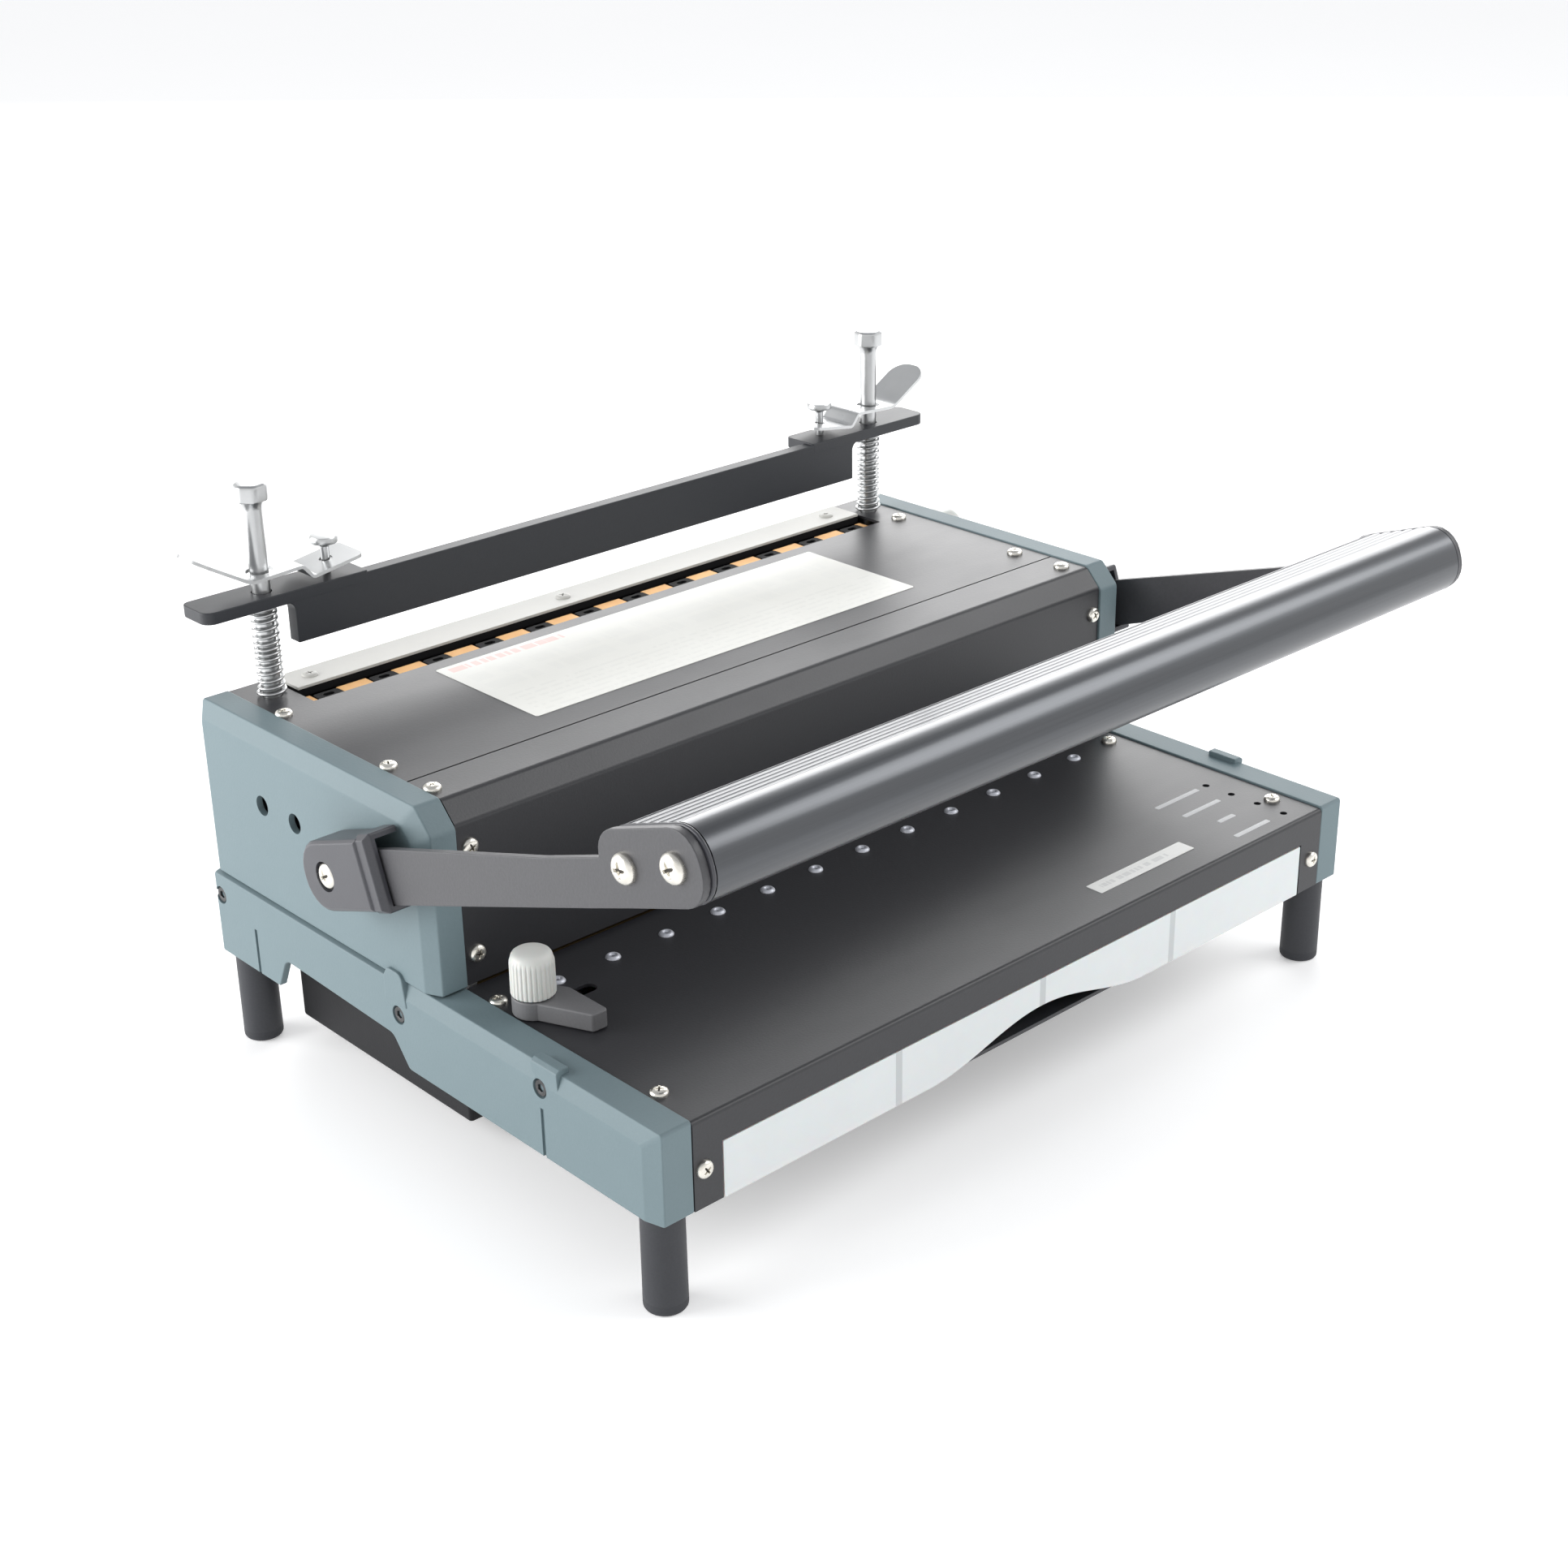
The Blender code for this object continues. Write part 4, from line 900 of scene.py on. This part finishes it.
# ---- Hub caps ----------------------------------------------------------------------------------
# Moulded covers over the lever's hubs: round behind, chamfered all round their outer face, and
# flared into a collar in front, where the arm comes out. A screw in a sunk well holds each.
hub_out = 199.0
well_floor = hub_out - 2.2
cap_body = [(27, -13.2, 0.5), (27, 13.2, 0.5), (-15.2, 13.2, 12.4), (-15.2, -13.2, 12.4)]
collar = [(24.6, -14.4, 1.2), (33.0, -14.4, 0.8), (33.0, 14.4, 0.8), (24.6, 14.4, 1.2)]
pocket = [(40, -12.3, 0.2), (40, 12.2, 0.2), (-12.2, 11.2, 11.1), (-12.2, -11.9, 11.1)]
for side, sign in SIDES:
    body = soft_loft("x", [(sign * 184.9, cap_body), (sign * 197.8, cap_body),
                           (sign * hub_out, inset(cap_body, 1.2))], 0.6, on_lever)
    band = soft_loft("x", [(sign * 184.92, collar), (sign * 195.8, collar),
                           (sign * 198.2, inset(collar, 1.8))], 0.5, on_lever)
    piece(f"hub_cover_{side}", [body], cap_plastic, "lever", [f"hub_cap_{side}"],
          welds=[band],
          cuts=[prism(on_lever(fillet(pocket)), sign * 180, sign * 194.2),
                prism(disc(pivot, 5.7, 32), sign * well_floor, sign * 205),
                prism(disc(pivot, 2.3, 20), sign * 190, sign * 205)])
    screws(f"hub_cover_screw_{side}", "lever",
           [((sign * well_floor, *pivot), (sign, 0, 0), 5.1, 2.3, 0.5)], [f"hub_screw_{side}"],
           [prism(disc(pivot, 2.0, 16), sign * 188, sign * (hub_out - 2.0))])


# ---- Posts and springs -------------------------------------------------------------------------
# Bright zinc posts with six-sided heads stand on the rear tie bar. A steel spring round each lifts
# the pressing bar; its lowest turns are wound wider, so that they sit flat on the cover.
zinc, place = new_finish("zinc", Metallic=1.0)
drift = place.noise(60.0, 4.0)
lines = place.noise(1.0, 2.0, (150.0, 150.0, 2500.0))
place.feed(Base_Color=place.mix(drift, (0.47, 0.48, 0.485), (0.61, 0.615, 0.615)),
           Roughness=0.24 + 0.14 * lines, Normal=place.dent(lines, 0.000008))
post_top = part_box("post_left")[1].z / MM


def post_shape(angle, height):
    """A circle below, and the head's hexagon with its corners turned off above."""
    corner = np.minimum(six_sided(angle + 0.3, height), 1.07)
    return np.where(height > 222.6, corner, 1.0)


post_profile = [(0, 134.3), (3.6, 134.3), (3.6, 219.0), (3.9, 221.0), (4.6, 222.4), (5.7, 222.8),
                (5.95, 223.4), (5.95, 227.9), (5.7, 228.7), (4.9, 229.35), (3.6, post_top),
                (0, post_top)]
for side, post in zip(("left", "right"), posts):
    piece(f"guide_post_{side}", [spun(post_profile, (*post, 0), sides=72, shape=post_shape)], zinc,
          "base", [f"post_{side}"], smooth=25)


def coil(post, low, high, radius, wire, turns, flare):
    """A wire circle carried along a helix.

    At turn fraction u the height eases in and out at the closed ends, and the radius grows by
    flare * (1 - u / 0.16)^2 over the lowest part.
    """
    u = np.linspace(0, 1, turns * 28 + 1)[:, None]
    tilt = np.linspace(0, 2 * pi, 10, endpoint=False)[None, :]
    rise = u - 0.06 * np.sin(4 * pi * u) / pi
    reach = radius + flare * np.clip(1 - u / 0.16, 0, 1) ** 2 + wire * np.cos(tilt)
    angle = 2 * pi * turns * u
    height = low + wire + (high - low - 2 * wire) * rise + wire * np.sin(tilt)
    return skin(np.stack([post[0] + reach * np.cos(angle), post[1] + reach * np.sin(angle),
                          height + 0 * reach], axis=-1))


flange_low, flange_high = 182.3, 187.0
for side, post in zip(("left", "right"), posts):
    low, high = top_z + 0.3, flange_low - 0.3
    piece(f"press_coil_{side}", [coil(post, low, high, 4.65, 0.62, 14, 1.1)], zinc,
          ("base", "press"), [f"press_spring_{side}"], smooth=60, spring=(post, low, high))


# ---- Pressing bar ------------------------------------------------------------------------------
# A deep black-painted steel web with a flat flange welded on at each end; the flanges slide on the
# posts. The web's foot presses the binding strip together.
web_front, bar_back, bar_foot = 244.5, 262.5, 166.0
web = [(141.8, bar_foot, 0.5), (141.8, flange_low + 0.3, 3.6), (146.4, flange_low + 0.3, 0.1),
       (146.4, 184.5, 0.1), (130.0, 186.3, 0.5), (-130.0, 186.3, 0.5), (-155.0, 184.5, 0.1),
       (-155.0, flange_low + 0.3, 0.1), (-150.4, flange_low + 0.3, 3.6), (-150.4, bar_foot, 0.5)]
flange = [(117.3, web_front - 0.05, 1.0), (188.2, web_front - 0.05, 4.5), (188.2, bar_back, 3.5),
          (117.3, bar_back, 3.0)]
press_paint = powder_coat("press_paint", (0.019, 0.021, 0.026), 0.46, 1300.0, 0.00002)
piece("pressing_bar", [slab(web, web_front, web_front + 6.0, "y", 0.35)], press_paint, "press",
      ["press_bar"],
      welds=[soft_loft("z", [(flange_low, flange), (flange_high, flange)], 0.4,
                       lambda outline: outline * (sign, 1)) for sign in (-1, 1)],
      cuts=[prism(disc(post, 4.0, 32), 170, 200, "z") for post in posts])


# ---- Latches -----------------------------------------------------------------------------------
# Bent zinc-plated plates hang on headed pins and grip the posts when they tilt. The outer end is a
# rounded finger tab.
latch_pin_x, latch_y = 130.0, 253.5


def latch_plate(sign):
    """A strip carried along a bent line whose corners are arcs.

    At distance s from an end with corner radius r, half its width is less by
    r - sqrt(r^2 - (r - s)^2).
    """
    knots = np.array([(118.5, 193.7), (141.3, 190.2), (145.6, 195.3), (167.6, 194.1),
                      (189.6, 207.2)])
    bends = [0, 1.6, 2.0, 9.0, 0]
    closed = fillet([(*knot, bend) for knot, bend in zip(knots, bends)] + [(190, 240, 0),
                                                                          (118, 240, 0)], 8)
    line = closed[:len(knots) * 9]
    line = line[np.concatenate([[True], np.linalg.norm(np.diff(line, axis=0), axis=1) > 1e-6])]
    steps = np.concatenate([[0], np.cumsum(np.linalg.norm(np.diff(line, axis=0), axis=1))])
    s = np.concatenate([np.linspace(0, 3, 8), np.linspace(3.5, steps[-1] - 8.2, 70),
                        steps[-1] - 8 * (1 - np.sin(np.linspace(0, pi / 2, 14)))])
    x, z = (np.interp(s, steps, line[:, k]) for k in (0, 1))
    half = np.full_like(s, 9.5)
    for gap, radius in ((s, 3.0), (steps[-1] - s, 8.0)):
        near = np.clip(radius - gap, 0, radius)
        half -= radius - np.sqrt(np.maximum(radius ** 2 - near ** 2, 0))
    w = np.linspace(-1, 1, 13)
    y = latch_y + half[:, None] * w
    slope = np.gradient(np.stack([x, z], 1), s, axis=0)
    normal = np.stack([-slope[:, 1], slope[:, 0]], 1) * 0.65
    upper, lower = (np.stack([(x + way * normal[:, 0])[:, None] + 0 * y, y,
                              (z + way * normal[:, 1])[:, None] + 0 * y], -1) for way in (1, -1))
    rings = np.concatenate([upper, lower[:, ::-1]], axis=1)
    return skin(rings * (sign, 1, 1))


for side, sign in SIDES:
    slot = fillet(corners_of((154.3, 247.6), (164.7, 257.4), 4.8), 8)
    slot_cut = prism(slot * (sign, 1), 185, 210, "z")
    pin_cut = prism(disc((sign * latch_pin_x, latch_y), 2.6, 24), 185, 210, "z")
    piece(f"latch_{side}_plate", [latch_plate(sign)], zinc, f"latch_{side}",
          [f"latch_plate_{side}"], cuts=[slot_cut, pin_cut], smooth=40)
    pin_profile = [(0, 187.3), (1.7, 187.3), (1.7, 197.6), (2.6, 198.6), (5.1, 199.2), (5.5, 199.7),
                   (5.5, 201.2), (5.0, 201.9), (2.5, 202.3), (0, 202.3)]
    piece(f"latch_{side}_pin", [spun(pin_profile, (sign * latch_pin_x, latch_y, 0), sides=40)],
          zinc, "press", [f"latch_pin_{side}"], smooth=40)


# ---- Side guide --------------------------------------------------------------------------------
# Grey moulded stop for the edge of the sheets: a round boss with an arm that lies along the table.
# A white fluted knob on a bolt in the table's slot clamps it.
guide_plastic = mottled("guide_plastic", (0.115, 0.115, 0.12), (0.17, 0.17, 0.175), (0.36, 0.12),
                        (50.0, 3.0), (1100.0, 3.0, 0.00004), 0.5, Specular_IOR_Level=0.5)
boss = corners_of((guide_x - 7.9, guide_y - 7.9), (guide_x + 7.9, guide_y + 7.9), 7.85)
arm_plan = [(guide_x - 4.0, guide_y - 6.6, 0.5), (-156.4, 66.4, 1.6), (-149.7, 66.4, 1.6),
            (-149.7, 88.0, 3.0), (-154.5, 96.0, 0.5), (-160.0, 93.0, 0.2)]
guide_low, guide_high = table_z + 0.3, 80.0
piece("edge_guide", [slab(boss, guide_low, guide_high, "z", 0.7)], guide_plastic, "guide",
      ["side_guide"],
      welds=[slab(arm_plan, guide_low + 0.01, guide_high - 0.01, "z", 0.7)],
      cuts=[prism(disc((guide_x, guide_y), 2.8, 24), 60, 90, "z")])

knob_plastic = mottled("knob_plastic", (0.58, 0.59, 0.565), (0.67, 0.68, 0.65), (0.40, 0.12),
                       (60.0, 3.0), (900.0, 2.0, 0.00003), Specular_IOR_Level=0.5,
                       Subsurface_Weight=0.1, Subsurface_Scale=0.002)
FLUTES = 28


def fluted(angle, height):
    """Ribs that stand proud by a share of the radius, round-topped, with narrow grooves between."""
    rib = 1 - np.abs(np.cos(angle * FLUTES / 2)) ** 8
    skirt = np.clip((94.6 - height) / 1.6, 0, 1) * np.clip((height - 80.2) / 0.7, 0, 1) ** 0.5
    return 1 + 0.055 * rib * skirt


knob_profile = [(0, 80.3), (7.2, 80.3), (7.55, 80.6), (7.65, 81.0), (7.65, 84.0), (7.6, 88.0),
                (7.55, 92.6), (7.54, 93.0), (7.53, 93.4), (7.52, 93.8), (7.5, 94.2), (7.45, 94.7),
                (7.25, 95.4), (6.8, 96.1), (6.1, 96.6), (5.2, 96.9), (3.0, 97.1), (0, 97.2)]
piece("guide_clamp_knob", [spun(knob_profile, (guide_x, guide_y, 0), sides=FLUTES * 12,
                                shape=fluted)], knob_plastic, "guide_clamp",
      ["guide_knob"], smooth=50)


# ---- Waste drawer ------------------------------------------------------------------------------
# Milky translucent plastic: a front with a finger scoop along its lower edge, and a shallow tray
# whose three dividers are marked on the front as faint bands of painted shade.
drawer_plastic, place = new_finish("drawer_plastic", Specular_IOR_Level=0.5, Subsurface_Weight=0.25,
                                   Subsurface_Scale=0.006)
x = place.axis("X")
# Painted shade: 3.2 mm darker bands down the front where the dividers stand behind it.
near = (abs(x) < 0.0016) + (abs(abs(x) - 0.075) < 0.0016)
drift = place.noise(9.0, 4.0)
grime = place.noise(120.0, 4.0)
milk = place.mix(0.7 * drift + 0.3 * grime, (0.60, 0.625, 0.63), (0.71, 0.735, 0.74))
place.feed(Base_Color=place.mix(0.5 * near, milk, (0.33, 0.35, 0.36)),
           Roughness=0.27 + 0.12 * grime, Normal=place.dent(place.noise(700.0, 2.0), 0.00002))
drawer_half = 156.5
reach = np.linspace(-60, 60, 41)
scoop = np.stack([reach, 38.2 + 5.2 * (1 + np.cos(reach * pi / 60)), 0 * reach], axis=1)
front_corners = [(-drawer_half, 60.1, 0.4), (-drawer_half, 38.2, 0.4), *scoop,
                 (drawer_half, 38.2, 0.4), (drawer_half, 60.1, 0.4)]
piece("drawer_front", [slab(front_corners, 0.0, 2.4, "y", 0.3)], drawer_plastic, "drawer",
      ["waste_drawer"])
tray_half, tray_back = 150.0, 150.0
walls = [-tray_half, -75.0, 0.0, 75.0, tray_half]
rooms = [box((left + 1.2, 3.6, 42.3), (right - 1.2, tray_back - 1.8, 70.0))
         for left, right in zip(walls, walls[1:])]
piece("drawer_tray", [soft_box((-tray_half, 2.45, 48.9), (tray_half, tray_back, 58.8), 0.3)],
      drawer_plastic, "drawer",
      welds=[soft_box((-149.9, 20.0, 40.5), (149.9, tray_back - 0.1, 52.0), 1.0)], cuts=[rooms])


# ---- Selector knob -----------------------------------------------------------------------------
# Pale knob with nine finger hollows, moulded in the clamp knob's plastic. Its spindle comes out
# through the right-hand casing near the rear edge.
def hollows(angle, height):
    """The radius drops by a share of 0.035 * (1 + cos 9t), which makes nine shallow hollows."""
    return 1 - 0.035 * (1 + np.cos(9 * angle))


selector_profile = [(0, 185.2), (15.2, 185.2), (16.3, 186.2), (16.5, 187.2), (16.5, 195.0),
                    (16.2, 196.8), (15.0, 198.2), (13.0, 198.8), (10.5, 198.9), (9.8, 198.3),
                    (0, 198.1)]
spindle = [(0, 160.0), (4.0, 160.0), (4.0, 186.0), (0, 186.0)]
piece("selector_grip", [spun(selector_profile, (0, *knob_seat), (1, 0, 0), 144, hollows),
                        spun(spindle, (0, *knob_seat), (1, 0, 0), 32)], knob_plastic,
      "selector", ["selector_knob"], smooth=40)


# ---- Inner steelwork ---------------------------------------------------------------------------
# Frame plates, tie bars, shaft, eccentrics and punches are plain steel, oiled and a little
# streaked; the die and the bushes are bronze, browned by oil. All are inside the covers, and the
# floor plate under them is painted like the covers.
bare_steel, place = new_finish("bare_steel", Metallic=0.95)
drift = place.noise(40.0, 4.0)
mill = place.noise(1.0, 2.0, (25.0, 1500.0, 1500.0))
place.feed(Base_Color=place.mix(drift, (0.30, 0.30, 0.31), (0.50, 0.50, 0.50)),
           Roughness=0.28 + 0.2 * drift + 0.06 * mill, Normal=place.dent(mill, 0.00001))
bronze = mottled("oiled_bronze", (0.085, 0.055, 0.022), (0.17, 0.115, 0.05), (0.45, 0.2),
                 (30.0, 4.0), (700.0, 2.0, 0.00001), Metallic=0.6)

steel_nodes = ["left_chassis_plate", "right_chassis_plate", "front_tie_bar", "rear_tie_bar",
               "drive_shaft", "eccentric_left", "eccentric_right", "punch_guide", "punch_bar",
               "guide_bolt"]
bronze_nodes = ["die_block", "shaft_bush_left", "shaft_bush_right"]
for paint, nodes in ((bare_steel, steel_nodes), (bronze, bronze_nodes), (cover_paint, ["base_pan"])):
    for node in nodes:
        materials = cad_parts[node].data.materials
        materials.clear()
        materials.append(paint)
for side, sign in SIDES:
    seat = (sign * 151.0, 143.8)
    piece(f"punch_coil_{side}", [coil(seat, 73.0, 86.0, 3.2, 0.5, 5, 0.0)], bare_steel,
          ("base", "punch"), [f"return_spring_{side}"], smooth=60,
          spring=(seat, 73.0, 86.0))

low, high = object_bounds()
